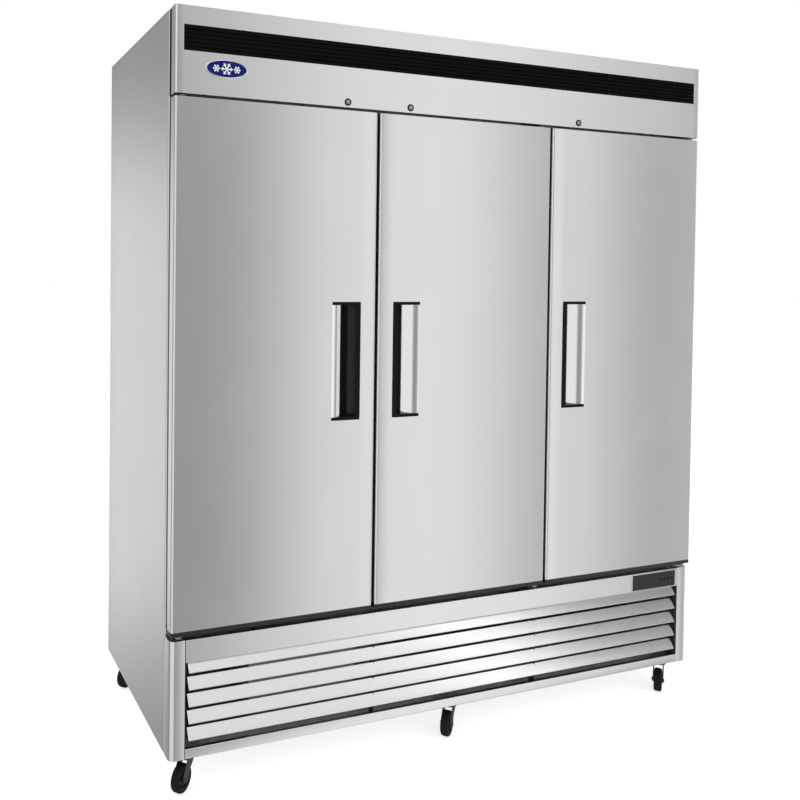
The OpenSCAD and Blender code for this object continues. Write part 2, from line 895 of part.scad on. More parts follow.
caster_fork(caster_x[1], caster_y[1]);  // rear_middle_fork
caster_fork(caster_x[2], caster_y[1]);  // rear_right_fork
caster_wheel(caster_x[0], caster_y[0]);  // front_left_wheel
caster_wheel(caster_x[1], caster_y[0]);  // front_middle_wheel
caster_wheel(caster_x[2], caster_y[0]);  // front_right_wheel
caster_wheel(caster_x[0], caster_y[1]);  // rear_left_wheel
caster_wheel(caster_x[1], caster_y[1]);  // rear_middle_wheel
caster_wheel(caster_x[2], caster_y[1]);  // rear_right_wheel
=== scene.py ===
# Builds the visible pieces of a three-door reach-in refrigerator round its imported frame.
# Metres, in the frame's own axes: +Z up, front towards -Y, origin on the floor.

import json
import math

import bmesh
import bpy
from bpy.props import FloatProperty, FloatVectorProperty, IntProperty, PointerProperty
from mathutils import Matrix, Vector


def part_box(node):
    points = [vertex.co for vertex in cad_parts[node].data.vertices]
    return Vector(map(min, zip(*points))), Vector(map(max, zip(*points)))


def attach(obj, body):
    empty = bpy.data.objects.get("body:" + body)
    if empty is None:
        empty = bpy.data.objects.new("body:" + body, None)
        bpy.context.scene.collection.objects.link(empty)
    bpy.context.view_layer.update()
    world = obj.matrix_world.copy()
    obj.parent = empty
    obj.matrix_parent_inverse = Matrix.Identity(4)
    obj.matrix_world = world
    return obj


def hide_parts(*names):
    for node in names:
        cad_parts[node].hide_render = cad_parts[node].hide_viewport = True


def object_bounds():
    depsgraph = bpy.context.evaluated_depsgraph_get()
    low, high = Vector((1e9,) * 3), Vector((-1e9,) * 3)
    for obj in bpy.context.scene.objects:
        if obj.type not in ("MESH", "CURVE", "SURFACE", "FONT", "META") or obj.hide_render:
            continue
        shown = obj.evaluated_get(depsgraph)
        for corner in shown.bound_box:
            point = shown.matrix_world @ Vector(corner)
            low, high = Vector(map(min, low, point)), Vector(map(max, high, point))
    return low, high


bl_info = {
    "name": "Reach-in refrigerator",
    "version": (1, 0, 0),
    "blender": (4, 5, 0),
    "location": "View3D > Sidebar > Refrigerator",
    "description": "Builds the visible pieces of a three-door reach-in refrigerator",
    "category": "Object",
}

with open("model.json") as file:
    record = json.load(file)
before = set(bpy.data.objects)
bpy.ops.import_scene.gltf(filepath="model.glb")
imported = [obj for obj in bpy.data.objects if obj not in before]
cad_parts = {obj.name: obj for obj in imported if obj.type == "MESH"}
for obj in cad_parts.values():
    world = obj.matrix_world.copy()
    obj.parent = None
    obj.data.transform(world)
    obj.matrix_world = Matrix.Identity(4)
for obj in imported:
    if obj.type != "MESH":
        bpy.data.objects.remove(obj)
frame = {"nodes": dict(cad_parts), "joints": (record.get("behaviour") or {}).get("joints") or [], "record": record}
cad_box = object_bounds()
NODES = frame["nodes"]
JOINTS = {joint["name"]: joint for joint in frame["joints"]}
RECORD_COLOURS = {row["slot"]: row["base_color"] for row in frame["record"]["materials"]}
SIDES = ("left", "middle", "right")
STILL = Matrix.Identity(4)
ALONG_X = Matrix(((0, 0, 1, 0), (1, 0, 0, 0), (0, 1, 0, 0), (0, 0, 0, 1)))
FACING_FRONT = Matrix.Rotation(math.radians(90), 4, "X")
FACING_BACK = Matrix.Rotation(math.radians(-90), 4, "X")
STANDING = Matrix(((1, 0, 0, 0), (0, 0, 1, 0), (0, 1, 0, 0), (0, 0, 0, 1)))
MM = 0.001
SHARP_ANGLE = math.radians(32)
LARGEST_CURVED = 0.02  # square metres; larger faces are flat sheet and are shaded flat


def mm(*numbers):
    """Millimetres as metres."""
    return tuple(number * MM for number in numbers)


def in_mm(*points):
    """Points given in millimetres, as metres."""
    return [mm(*point) for point in points]


def at(x, y, z):
    """A move to a place."""
    return Matrix.Translation((x, y, z))


def spun(degrees):
    """A turn about Z."""
    return Matrix.Rotation(math.radians(degrees), 4, "Z")


# ---------- Settings ----------


def length(name, description, metres):
    """A size that the user can change."""
    return FloatProperty(name=name, description=description, default=metres, min=0, unit="LENGTH")


def colour(name, slot):
    """A base colour that starts as the record's."""
    return FloatVectorProperty(
        name=name,
        description=f"Base colour of {name.lower()}",
        default=RECORD_COLOURS[slot],
        min=0,
        max=1,
        size=3,
        subtype="COLOR",
    )


class CabinetSizes(bpy.types.PropertyGroup):
    """Sizes of the cabinet's sheet metal, louvres and grille."""

    sheet: length("Sheet", "Thickness of the stainless sheet", 0.0012)
    side_fold: length("Side fold", "Width of the side panels' folded edges", 0.014)
    side_round: length("Side round", "Radius of the side panels' edges", 0.004)
    louvre_margin: length("Louvre margin", "From the louvre strip's end to the header's end", 0.024)
    louvre_drop: length("Louvre drop", "From the header's top to the louvre strip", 0.050)
    louvre_height: length("Louvre height", "Height of the louvre strip", 0.068)
    louvre_ribs: IntProperty(name="Louvre ribs", description="Number of ribs in the strip", default=6)
    post_width: length("Post width", "Width of the posts beside the grille", 0.044)
    post_round: length("Post round", "Radius of the posts' outer edges", 0.016)
    fascia: length("Fascia", "Height of the sheet above the grille's slats", 0.062)
    slats: IntProperty(name="Slats", description="Number of slats in the grille", default=5)
    slat_pitch: length("Slat pitch", "Height from one slat to the next", 0.046)
    slat_depth: length("Slat depth", "How far a slat leans out", 0.018)
    slat_drop: length("Slat drop", "Height of a slat's sloping face", 0.028)
    vent_slots: IntProperty(name="Vent slots", description="Number of slots in the back", default=14)
    vent_pitch: length("Vent pitch", "Distance from one slot to the next", 0.046)


class DoorSizes(bpy.types.PropertyGroup):
    """Sizes of the doors and their handles."""

    wrap: length("Wrap", "How far the skin turns round the door's edges", 0.034)
    edge_round: length("Edge round", "Radius of the door's vertical edges", 0.007)
    cap_drop: length("Cap drop", "Height of the bottom cap", 0.012)
    bar: length("Handle bar", "Width of the handle's upright bar", 0.015)
    arm: length("Handle arm", "Width of the handle's two arms", 0.009)
    scoop: length("Scoop depth", "Depth of the hollow behind the handle", 0.033)
    gasket_inset: length("Gasket inset", "From the door's edge to the gasket", 0.023)
    liner_inset: length("Liner inset", "From the door's edge to the raised inner panel", 0.045)
    liner_rise: length("Liner rise", "Height of the raised inner panel", 0.007)


class InsideSizes(bpy.types.PropertyGroup):
    """Sizes of what the doors hide."""

    shelf_wires: IntProperty(name="Shelf wires", description="Wires along each shelf", default=21)
    shelf_frame: length("Shelf frame", "Thickness of a shelf's outer wire", 0.008)
    shelf_wire: length("Shelf wire", "Thickness of a shelf's thin wires", 0.004)
    standard_width: length("Standard width", "Width of the slotted uprights", 0.024)
    standard_depth: length("Standard depth", "Depth of the slotted uprights", 0.012)
    slot_pitch: length("Slot pitch", "Distance between slots in the uprights", 0.025)
    liner_round: length("Liner round", "Radius of the liner's corners", 0.014)
    guard_rings: IntProperty(name="Guard rings", description="Wire rings in a fan guard", default=6)


class CasterSizes(bpy.types.PropertyGroup):
    """Sizes of the casters."""

    plate_x: length("Plate width", "Width of a caster's top plate", 0.090)
    plate_y: length("Plate depth", "Depth of a caster's top plate", 0.064)
    plate: length("Plate", "Thickness of the top plate", 0.003)
    wheel: length("Wheel width", "Width of a wheel", 0.024)
    leg: length("Leg", "Thickness of the fork's legs", 0.0025)


class Finishes(bpy.types.PropertyGroup):
    """Base colours of the finishes."""

    front: colour("Stainless front", "stainless_front")
    body: colour("Stainless body", "stainless_body")
    galvanised: colour("Galvanised sheet", "galvanised")
    liner: colour("Painted liner", "liner")
    foam: colour("Foam", "foam")
    plastic: colour("Black plastic", "black_plastic")
    gloss: colour("Gloss black", "gloss_black")
    badge: colour("Badge", "badge")
    zinc: colour("Zinc-plated steel", "zinc_steel")
    shelf: colour("Shelf wire", "shelf_wire")
    fins: colour("Coil fins", "copper_fin")
    unit: colour("Unit paint", "unit_black")
    lock: colour("Locks", "lock_metal")
    fan: colour("Fan plastic", "fan_plastic")
    gasket: colour("Gaskets", "gasket")
    handle: colour("Handles", "handle")
    door_liner: colour("Door liner", "door_liner")
    caster: colour("Caster steel", "caster_steel")
    rubber: colour("Wheel rubber", "wheel_rubber")
    keys: colour("Keys", "key")


class StudioSettings(bpy.types.PropertyGroup):
    """Camera, floor and light."""

    camera_place: FloatVectorProperty(
        name="Camera place",
        description="Where the camera stands",
        default=(-1.564, -2.646, 1.408),
        size=3,
        subtype="TRANSLATION",
    )
    heading: FloatProperty(
        name="Heading",
        description="How far the camera turns from +Y towards +X",
        default=math.radians(21.64),
        subtype="ANGLE",
    )
    pitch: FloatProperty(
        name="Pitch",
        description="How far the camera looks up",
        default=math.radians(-1.28),
        subtype="ANGLE",
    )
    roll: FloatProperty(
        name="Roll",
        description="How far the camera leans",
        default=math.radians(0.58),
        subtype="ANGLE",
    )
    lens: FloatProperty(name="Lens", description="Focal length in millimetres", default=40.0)
    shift_x: FloatProperty(name="Shift across", description="Sideways lens shift", default=0.175)
    shift_y: FloatProperty(name="Shift up", description="Upward lens shift", default=-0.13125)
    floor_size: length("Floor size", "Width of the floor", 60.0)
    ambient: FloatProperty(name="Ambient", description="Light from all round", default=0.36)
    key: FloatProperty(name="Key", description="Softbox in front, on the right", default=0.75)
    left: FloatProperty(name="Left", description="Broad softbox in front, on the left", default=0.6)
    right: FloatProperty(name="Right", description="Softbox beside the right end", default=0.5)
    overhead: FloatProperty(name="Overhead", description="Light from above", default=0.68)
    side: FloatProperty(name="Side", description="Softbox behind the left end", default=0.52)
    high: FloatProperty(name="High", description="Softbox high in front, for the slats", default=0.62)
    glint: FloatProperty(name="Glint", description="Narrow strip beside the high softbox", default=3.0)


# ---------- Shader nodes ----------


class Number:
    """A value in a node tree, whose sums, differences and products are Math nodes."""

    def __init__(self, graph, socket):
        self.graph = graph
        self.socket = socket

    def __add__(self, other):
        return self.graph.math("ADD", self, other)

    __radd__ = __add__

    def __sub__(self, other):
        return self.graph.math("SUBTRACT", self, other)

    def __rsub__(self, other):
        return self.graph.math("SUBTRACT", other, self)

    def __mul__(self, other):
        return self.graph.math("MULTIPLY", self, other)

    __rmul__ = __mul__


class Graph:
    """The node tree of a material or of the world."""

    def __init__(self, owner):
        owner.use_nodes = True
        self.tree = owner.node_tree
        self.tree.nodes.clear()

    def node(self, kind, settings=None, values=None):
        """A new node with its settings made, then its sockets filled or linked."""
        made = self.tree.nodes.new("ShaderNode" + kind)
        for name, setting in (settings or {}).items():
            setattr(made, name, setting)
        for name, value in (values or {}).items():
            source = value.socket if isinstance(value, Number) else value
            if isinstance(source, bpy.types.NodeSocket):
                self.tree.links.new(source, made.inputs[name])
            else:
                made.inputs[name].default_value = source
        return made

    def math(self, operation, *values):
        made = self.node("Math", {"operation": operation}, dict(enumerate(values)))
        return Number(self, made.outputs[0])

    def ramp(self, value, low, high):
        """0 below low and 1 above high, with a soft rise between them."""
        values = {"Value": value, "From Min": low, "From Max": high}
        made = self.node("MapRange", {"interpolation_type": "SMOOTHSTEP"}, values)
        return Number(self, made.outputs["Result"])

    def band(self, value, low, high, soft):
        """1 between low and high, fading to 0 over a soft distance outside them."""
        return self.ramp(value, low - soft, low) * (1 - self.ramp(value, high, high + soft))

    def spot(self, cells):
        """Object coordinates, with this many pattern cells per metre along each axis."""
        whole = self.node("TexCoord").outputs["Object"]
        return self.node("Mapping", None, {"Vector": whole, "Scale": cells}).outputs[0]

    def noise(self, cells, detail=2.0):
        values = {"Vector": self.spot(cells), "Scale": 1.0, "Detail": detail}
        return Number(self, self.node("TexNoise", None, values).outputs["Fac"])

    def mix(self, factor, first, second):
        """A colour between two others."""
        made = self.node("Mix", {"data_type": "RGBA"}, {0: factor, 6: rgba(first), 7: rgba(second)})
        return made.outputs[2]

    def bump(self, height, depth):
        """A normal for a relief this deep in metres."""
        values = {"Height": height, "Distance": depth}
        return self.node("Bump", None, values).outputs["Normal"]

    def surface(self, values):
        """The Principled shader and the output."""
        shader = self.node("BsdfPrincipled", None, values)
        self.node("OutputMaterial", None, {"Surface": shader.outputs[0]})


def rgba(value):
    """A colour with its alpha; a socket stays as it is."""
    return value if isinstance(value, bpy.types.NodeSocket) else (*value, 1.0)


def scaled(value, factor):
    return tuple(channel * factor for channel in value)


# ---------- Finishes ----------


def brushed(graph, base, grain_axis, roughness):
    """Stainless sheet: fine grain along one axis, faint rolling marks, smudges and slow waves."""
    fine = [1400.0] * 3
    fine[grain_axis] = 8.0
    wide = [60.0] * 3
    wide[grain_axis] = 0.7
    grain = graph.noise(fine, 3.0)
    rolled = graph.noise(wide)
    smudge = graph.noise((4.0, 4.0, 4.0), 5.0)
    tone = 0.55 * grain + 0.25 * rolled + 0.20 * smudge
    relief = 0.006 * grain + 1.0 * graph.noise((2.2, 2.2, 2.2))
    graph.surface({
        "Base Color": graph.mix(tone, scaled(base, 0.94), scaled(base, 1.03)),
        "Metallic": 1.0,
        "Roughness": roughness - 0.05 + 0.04 * grain + 0.07 * smudge,
        "Normal": graph.bump(relief, 0.0011),
    })


def coated(graph, base, roughness, cells, depth, metallic=0.0, spread=0.25, shine=0.5):
    """Paint, plastic, rubber or plating: a fine grain, uneven gloss and a little dust."""
    grain = graph.noise((cells, cells, cells), 2.0)
    wear = graph.noise((14.0, 14.0, 14.0), 5.0)
    tone = 0.4 * grain + 0.6 * wear
    graph.surface({
        "Base Color": graph.mix(tone, scaled(base, 1 - spread), scaled(base, 1 + spread)),
        "Metallic": metallic,
        "Roughness": roughness * (0.75 + 0.5 * wear),
        "Specular IOR Level": shine,
        "Normal": graph.bump(grain, depth),
    })


def galvanised(graph, base):
    """Zinc-coated sheet with its crystal spangle."""
    cells = graph.spot((90.0, 90.0, 90.0))
    pattern = graph.node("TexVoronoi", None, {"Vector": cells, "Scale": 1.0})
    split = graph.node("SeparateXYZ", None, {"Vector": pattern.outputs["Color"]})
    spangle = Number(graph, split.outputs["X"])
    dull = graph.noise((6.0, 6.0, 6.0), 4.0)
    tone = 0.7 * spangle + 0.3 * dull
    graph.surface({
        "Base Color": graph.mix(tone, scaled(base, 0.80), scaled(base, 1.08)),
        "Metallic": 0.9,
        "Roughness": 0.34 + 0.12 * spangle + 0.10 * dull,
    })


def finned(graph, base):
    """Aluminium fins in a close pack across X; the gaps between them are painted shade, darkened to a quarter of
    the fin colour and made uneven by dust.
    """
    cells = graph.spot((1.0, 1.0, 1.0))
    values = {"Vector": cells, "Scale": 75.0}
    fins = Number(graph, graph.node("TexWave", {"bands_direction": "X"}, values).outputs["Fac"])
    dust = graph.noise((20.0, 20.0, 20.0), 4.0)
    graph.surface({
        # Painted shade: the wave's low bands darken the colour to a quarter where the gaps between fins fall; dust
        # varies it.
        "Base Color": graph.mix(fins * (0.7 + 0.3 * dust), scaled(base, 0.25), base),
        "Metallic": 0.8,
        "Roughness": 0.32 + 0.25 * dust,
        "Normal": graph.bump(fins, 0.0015),
    })


def lamp_cover(graph):
    """Ribbed diffuser of the cabinet light, barely lit."""
    ribs = graph.noise((300.0, 6.0, 6.0), 1.0)
    graph.surface({
        "Base Color": graph.mix(ribs, (0.80, 0.82, 0.82), (0.90, 0.91, 0.90)),
        "Roughness": 0.35,
        "Emission Color": (0.90, 0.95, 1.0, 1.0),
        "Emission Strength": 0.35,
        "Normal": graph.bump(ribs, 0.0004),
    })


def studio_floor(graph):
    """Plain pale floor, faintly mottled and nearly white."""
    tone = graph.noise((1.5, 1.5, 1.5), 3.0)
    graph.surface({
        "Base Color": graph.mix(tone, (0.86, 0.86, 0.86), (0.88, 0.88, 0.88)),
        "Roughness": 0.9,
        "Specular IOR Level": 0.0,
        "Emission Color": (1.0, 1.0, 1.0, 1.0),
        "Emission Strength": 0.65,
    })


FINISH_RECIPES = {
    "steel_upright": lambda graph, tints: brushed(graph, tints.front, 2, 0.25),
    "steel_level": lambda graph, tints: brushed(graph, tints.front, 0, 0.25),
    "steel_side": lambda graph, tints: brushed(graph, tints.body, 2, 0.27),
    "steel_top": lambda graph, tints: brushed(graph, tints.body, 0, 0.29),
    "steel_slat": lambda graph, tints: brushed(graph, tints.front, 0, 0.20),
    "steel_inner": lambda graph, tints: brushed(graph, tints.door_liner, 2, 0.30),
    "polished": lambda graph, tints: brushed(graph, scaled(tints.front, 1.1), 2, 0.13),
    "zinc_sheet": lambda graph, tints: galvanised(graph, tints.galvanised),
    "white_enamel": lambda graph, tints: coated(graph, tints.liner, 0.32, 500.0, 0.00008, spread=0.02),
    "foam": lambda graph, tints: coated(graph, tints.foam, 0.85, 260.0, 0.0006, spread=0.12),
    "black_plastic": lambda graph, tints: coated(graph, tints.plastic, 0.42, 1500.0, 0.00005, shine=0.05),
    "satin_black": lambda graph, tints: coated(graph, tints.handle, 0.30, 1500.0, 0.00003, shine=0.05),
    "louvre_black": lambda graph, tints: coated(graph, tints.gloss, 0.35, 1200.0, 0.00002, shine=0.02),
    "gloss_black": lambda graph, tints: coated(graph, tints.gloss, 0.10, 30.0, 0.00002, shine=0.03),
    "badge_enamel": lambda graph, tints: coated(graph, tints.badge, 0.22, 800.0, 0.00002, shine=0.06),
    "bright_metal": lambda graph, tints: coated(graph, (0.80, 0.80, 0.80), 0.18, 900.0, 0.00001, 1.0, 0.05),
    # Painted shade: the barrels' rims are the lock metal darkened to 0.12, a shaded copy of the plugs' metal.
    "lock_rim_painted_shade": lambda graph, tints: coated(
        graph, scaled(tints.lock, 0.12), 0.25, 900.0, 0.00001, 1.0, 0.08
    ),
    "lock_plug": lambda graph, tints: coated(graph, tints.lock, 0.20, 900.0, 0.00001, 1.0, 0.08),
    "plated_steel": lambda graph, tints: coated(graph, tints.zinc, 0.42, 700.0, 0.00004, 0.9, 0.15),
    "shelf_chrome": lambda graph, tints: coated(graph, tints.shelf, 0.20, 900.0, 0.00002, 0.95, 0.06),
    "unit_paint": lambda graph, tints: coated(graph, tints.unit, 0.38, 400.0, 0.00010, shine=0.3),
    "fan_plastic": lambda graph, tints: coated(graph, tints.fan, 0.45, 900.0, 0.00005, shine=0.3),
    "vinyl": lambda graph, tints: coated(graph, tints.gasket, 0.52, 1100.0, 0.00006),
    "caster_steel": lambda graph, tints: coated(graph, tints.caster, 0.40, 600.0, 0.00005, 0.85, 0.20),
    "tyre_rubber": lambda graph, tints: coated(graph, tints.rubber, 0.60, 900.0, 0.00010, shine=0.08),
    "key_plastic": lambda graph, tints: coated(graph, tints.keys, 0.35, 1200.0, 0.00003, shine=0.06),
    "coil_fins": lambda graph, tints: finned(graph, tints.fins),
    "lamp_cover": lambda graph, tints: lamp_cover(graph),
    "studio_floor": lambda graph, tints: studio_floor(graph),
}


def finish_named(name):
    """The material of a finish, made when it is first asked for."""
    found = bpy.data.materials.get(name)
    if found is None:
        found = bpy.data.materials.new(name)
        FINISH_RECIPES[name](Graph(found), bpy.context.scene.fridge_finishes)
    return found


def refinish(node, name):
    """Gives a CAD node a finish and leaves its shape alone."""
    mesh = NODES[node].data
    mesh.materials.clear()
    mesh.materials.append(finish_named(name))


# ---------- Shapes ----------


def bent(points, radius, closed=False, steps=5):
    """A path whose corners are rounded; radius is one number or one for each point."""
    points = [Vector(point) for point in points]
    radii = radius if isinstance(radius, (list, tuple)) else [radius] * len(points)
    path = []
    for index, (point, bend) in enumerate(zip(points, radii)):
        end = not closed and index in (0, len(points) - 1)
        if end or bend <= 0:
            path.append(point)
            continue
        back = (points[index - 1] - point).normalized()
        ahead = (points[(index + 1) % len(points)] - point).normalized()
        half = back.angle(ahead) / 2
        centre = point + (back + ahead).normalized() * bend / math.sin(half)
        first = point + back * bend / math.tan(half) - centre
        last = point + ahead * bend / math.tan(half) - centre
        first, last = first.normalized(), last.normalized()
        path += [centre + bend * first.slerp(last, step / steps) for step in range(steps + 1)]
    return path


def rectangle(low, high):
    """The corners of a rectangle, counter-clockwise from the low one."""
    return [low, (high[0], low[1]), high, (low[0], high[1])]


def channel(left, right, web, lips):
    """A path with its middle part at one height and both ends at another."""
    return [(left, lips), (left, web), (right, web), (right, lips)]


def both_ways(half):
    """A profile from its lower half, mirrored across height 0."""
    return half + [(radius, -height) for radius, height in reversed(half)]


def verts_of(geom):
    return [item for item in geom if isinstance(item, bmesh.types.BMVert)]


def edges_of(geom):
    return [item for item in geom if isinstance(item, bmesh.types.BMEdge)]


def block_part(corner, far_corner):
    """A box between two opposite corners, as a bmesh of its own."""
    part = bmesh.new()
    size = [abs(far - near) for near, far in zip(corner, far_corner)]
    middle = (Vector(corner) + Vector(far_corner)) / 2
    spread = Matrix.Translation(middle) @ Matrix.Diagonal((*size, 1))
    bmesh.ops.create_cube(part, size=1, matrix=spread)
    return part


def plate_part(outline, low, high):
    """A flat outline in XY pushed up from low to high, as a bmesh of its own."""
    part = bmesh.new()
    face = part.faces.new([part.verts.new((point[0], point[1], low)) for point in outline])
    made = bmesh.ops.extrude_face_region(part, geom=[face])["geom"]
    bmesh.ops.translate(part, vec=(0, 0, high - low), verts=verts_of(made))
    return part


def turned_part(outline, steps, closed=False):
    """A lathe shape round Z, as a bmesh of its own; an open outline starts and ends on the axis."""
    part = bmesh.new()
    verts = [part.verts.new((radius, 0, height)) for radius, height in outline]
    ends = verts[1:] + verts[:1] if closed else verts[1:]
    edges = [part.edges.new(pair) for pair in zip(verts, ends)]
    bmesh.ops.spin(
        part,
        geom=verts + edges,
        cent=(0, 0, 0),
        axis=(0, 0, 1),
        dvec=(0, 0, 0),
        angle=2 * math.pi,
        steps=steps,
        use_merge=True,
    )
    bmesh.ops.remove_doubles(part, verts=part.verts, dist=1e-7)
    return part


def rounded_edges(part, edges, radius, segments):
    bmesh.ops.bevel(
        part,
        geom=edges,
        offset=radius,
        segments=segments,
        profile=0.5,
        affect="EDGES",
        material=-1,
    )


def cut_across(part, axis, limit):
    """Splits every face that crosses a plane at a place along one axis."""
    point = [limit if here == axis else 0.0 for here in range(3)]
    direction = [1.0 if here == axis else 0.0 for here in range(3)]
    bmesh.ops.bisect_plane(
        part,
        geom=[*part.verts, *part.edges, *part.faces],
        dist=1e-7,
        plane_co=point,
        plane_no=direction,
    )


def faces_inside(part, low, high):
    """The faces whose middles lie in a box."""
    return [
        face
        for face in part.faces
        if all(a < c < b for a, c, b in zip(low, face.calc_center_median(), high))
    ]


def open_window(part, low, high):
    """Cuts away the faces that lie in a box."""
    for axis in range(3):
        for limit in (low[axis], high[axis]):
            cut_across(part, axis, limit)
    bmesh.ops.delete(part, geom=faces_inside(part, low, high), context="FACES")


class Shape:
    """A mesh being made. Each method adds a closed part, placed by a matrix."""

    def __init__(self):
        self.bm = bmesh.new()
        self.carrier = bpy.data.meshes.new("carrier")

    def add(self, part, matrix=STILL, material=None):
        """Moves a finished part into the shape."""
        bmesh.ops.transform(part, matrix=matrix, verts=part.verts)
        if material is not None:
            for face in part.faces:
                face.material_index = material
        part.to_mesh(self.carrier)
        part.free()
        self.bm.from_mesh(self.carrier)

    def block(self, corner, far_corner, matrix=STILL, material=0, round_by=0.0):
        """A box between two opposite corners, with rounded edges where that is asked for."""
        part = block_part(corner, far_corner)
        if round_by:
            rounded_edges(part, part.edges[:], round_by, 3)
        self.add(part, matrix, material)

    def plate(self, outline, low, high, matrix=STILL, material=0):
        """A flat outline in XY, thick from low to high along Z."""
        self.add(plate_part(outline, low, high), matrix, material)

    def folded(self, path, low, high, thickness, windows=(), matrix=STILL, material=0):
        """Sheet bent along a path in XY and long from low to high, with windows cut in it."""
        part = bmesh.new()
        verts = [part.verts.new((point[0], point[1], low)) for point in path]
        edges = [part.edges.new(pair) for pair in zip(verts, verts[1:])]
        made = bmesh.ops.extrude_edge_only(part, edges=edges)["geom"]
        bmesh.ops.translate(part, vec=(0, 0, high - low), verts=verts_of(made))
        bmesh.ops.recalc_face_normals(part, faces=part.faces)
        for window in windows:
            open_window(part, *window)
        bmesh.ops.solidify(part, geom=part.faces[:], thickness=thickness)
        self.add(part, matrix, material)

    def rod(self, start, end, radius, sides=10, matrix=STILL, material=0):
        """A round bar between two points."""
        part = bmesh.new()
        start, end = Vector(start), Vector(end)
        turn = (end - start).to_track_quat("Z", "Y").to_matrix().to_4x4()
        bmesh.ops.create_cone(
            part,
            cap_ends=True,
            segments=sides,
            radius1=radius,
            radius2=radius,
            depth=(end - start).length,
            matrix=Matrix.Translation((start + end) / 2) @ turn,
        )
        self.add(part, matrix, material)

    def turned(self, outline, matrix=STILL, material=0, steps=32, closed=False):
        """A lathe shape round Z from (radius, height) points."""
        self.add(turned_part(outline, steps, closed), matrix, material)

    def hoop(self, radius, wire, matrix=STILL, material=0, steps=40, sides=8):
        """A ring of round wire about Z."""
        angles = [2 * math.pi * side / sides for side in range(sides)]
        outline = [(radius + wire * math.cos(angle), wire * math.sin(angle)) for angle in angles]
        self.turned(outline, matrix, material, steps, closed=True)

    def ring(self, profile, half_x, half_y, matrix=STILL, material=0):
        """A profile of (inward, height) points swept round a rectangle, mitred at its corners."""
        part = bmesh.new()
        verts = [part.verts.new((inward - half_x, inward - half_y, height)) for inward, height in profile]
        edges = [part.edges.new(pair) for pair in zip(verts, verts[1:] + verts[:1])]
        for flip in ((-1, 1, 1), (1, -1, 1), (-1, 1, 1), (1, -1, 1)):
            made = bmesh.ops.extrude_edge_only(part, edges=edges)["geom"]
            verts = verts_of(made)
            ends = set(verts)
            edges = [edge for edge in edges_of(made) if ends.issuperset(edge.verts)]
            bmesh.ops.scale(part, vec=flip, verts=verts)
        bmesh.ops.remove_doubles(part, verts=part.verts, dist=1e-7)
        self.add(part, matrix, material)

    def finish(self, name, body, slot, finishes, replaces=(), edge=0.0):
        """Turns the shape into a piece that rides on a body and stands for its CAD nodes."""
        bmesh.ops.recalc_face_normals(self.bm, faces=self.bm.faces)
        for face in self.bm.faces:
            face.smooth = face.calc_area() < LARGEST_CURVED
        mesh = bpy.data.meshes.new(name)
        self.bm.to_mesh(mesh)
        self.bm.free()
        bpy.data.meshes.remove(self.carrier)
        mesh.set_sharp_from_angle(angle=SHARP_ANGLE)
        for finish in finishes:
            mesh.materials.append(finish_named(finish))
        piece = bpy.data.objects.new(name, mesh)
        bpy.context.scene.collection.objects.link(piece)
        if edge:
            rounding = piece.modifiers.new("edges", "BEVEL")
            rounding.width = edge
            rounding.segments = 2
            rounding.limit_method = "ANGLE"
            rounding.angle_limit = SHARP_ANGLE
        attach(piece, body)
        if replaces:
            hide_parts(*replaces)
        return piece


class Door:
    """One door's frame of reference: face on y = 0, hinge towards +X, middle on x = 0."""

    def __init__(self, side):
        self.side = side
        self.body = f"{side}_door"
        low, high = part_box(f"{side}_door_skin")
        middle = (low.x + high.x) / 2
        hinge = JOINTS[f"{side}_door_hinge"]["pos_m"]
        self.turn = 1 if hinge[0] > middle else -1
        self.place = at(middle, low.y, 0) @ Matrix.Diagonal((self.turn, 1, 1, 1))
        self.half = (high.x - low.x) / 2
        self.low = low.z
        self.high = high.z
        self.pin = (abs(hinge[0] - middle), hinge[1] - low.y)
        to_door = self.place.inverted()
        handle_low, handle_high = (to_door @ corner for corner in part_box(f"{side}_door_handle"))
        self.handle_x = min(handle_low.x, handle_high.x)
        self.handle_width = abs(handle_high.x - handle_low.x)
        self.handle_z = (handle_low.z + handle_high.z) / 2
        self.handle_half = (handle_high.z - handle_low.z) / 2

    def node(self, part):
        return f"{self.side}_door_{part}"


DOORS = [Door(side) for side in SIDES]


def pan_head(shape, point, radius, matrix=STILL, facing=FACING_FRONT, material=0):
    """A low domed screw head standing on a point."""
    dome = [(0, 0.55), (0.55, 0.50), (0.9, 0.28), (1, 0), (0, 0)]
    outline = [(radius * across, radius * rise) for across, rise in dome]
    shape.turned(outline, matrix @ Matrix.Translation(point) @ facing, material, steps=14)


# ---------- Cabinet ----------


class FridgeStep(bpy.types.Operator):
    """Base of the steps, which read the scene's sizes."""

    bl_options = {"REGISTER", "UNDO"}

    @property
    def cabinet(self):
        return bpy.context.scene.fridge_cabinet

    @property
    def doors(self):
        return bpy.context.scene.fridge_doors

    @property
    def inside(self):
        return bpy.context.scene.fridge_inside

    @property
    def casters(self):
        return bpy.context.scene.fridge_casters


class FRIDGE_OT_side_panels(FridgeStep):
    """Side sheets with their folded edges and foot screws"""

    bl_idname = "fridge.side_panels"
    bl_label = "Side panels"

    def execute(self, context):
        sizes = self.cabinet
        for side, turn in (("left", 1), ("right", -1)):
            node = f"{side}_side_panel"
            low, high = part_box(node)
            outer = low.x if side == "left" else -high.x
            shape = Shape()
            mirror = Matrix.Diagonal((turn, 1, 1, 1))
            fold = outer + sizes.side_fold
            path = bent([(fold, low.y), (outer, low.y), (outer, high.y), (fold, high.y)], sizes.side_round)
            shape.folded(path, low.z, high.z, sizes.sheet, matrix=mirror)
            shape.finish(node + "_sheet", "cabinet", "stainless_body", ["steel_side"], [node], 0.3 * MM)
        return {"FINISHED"}


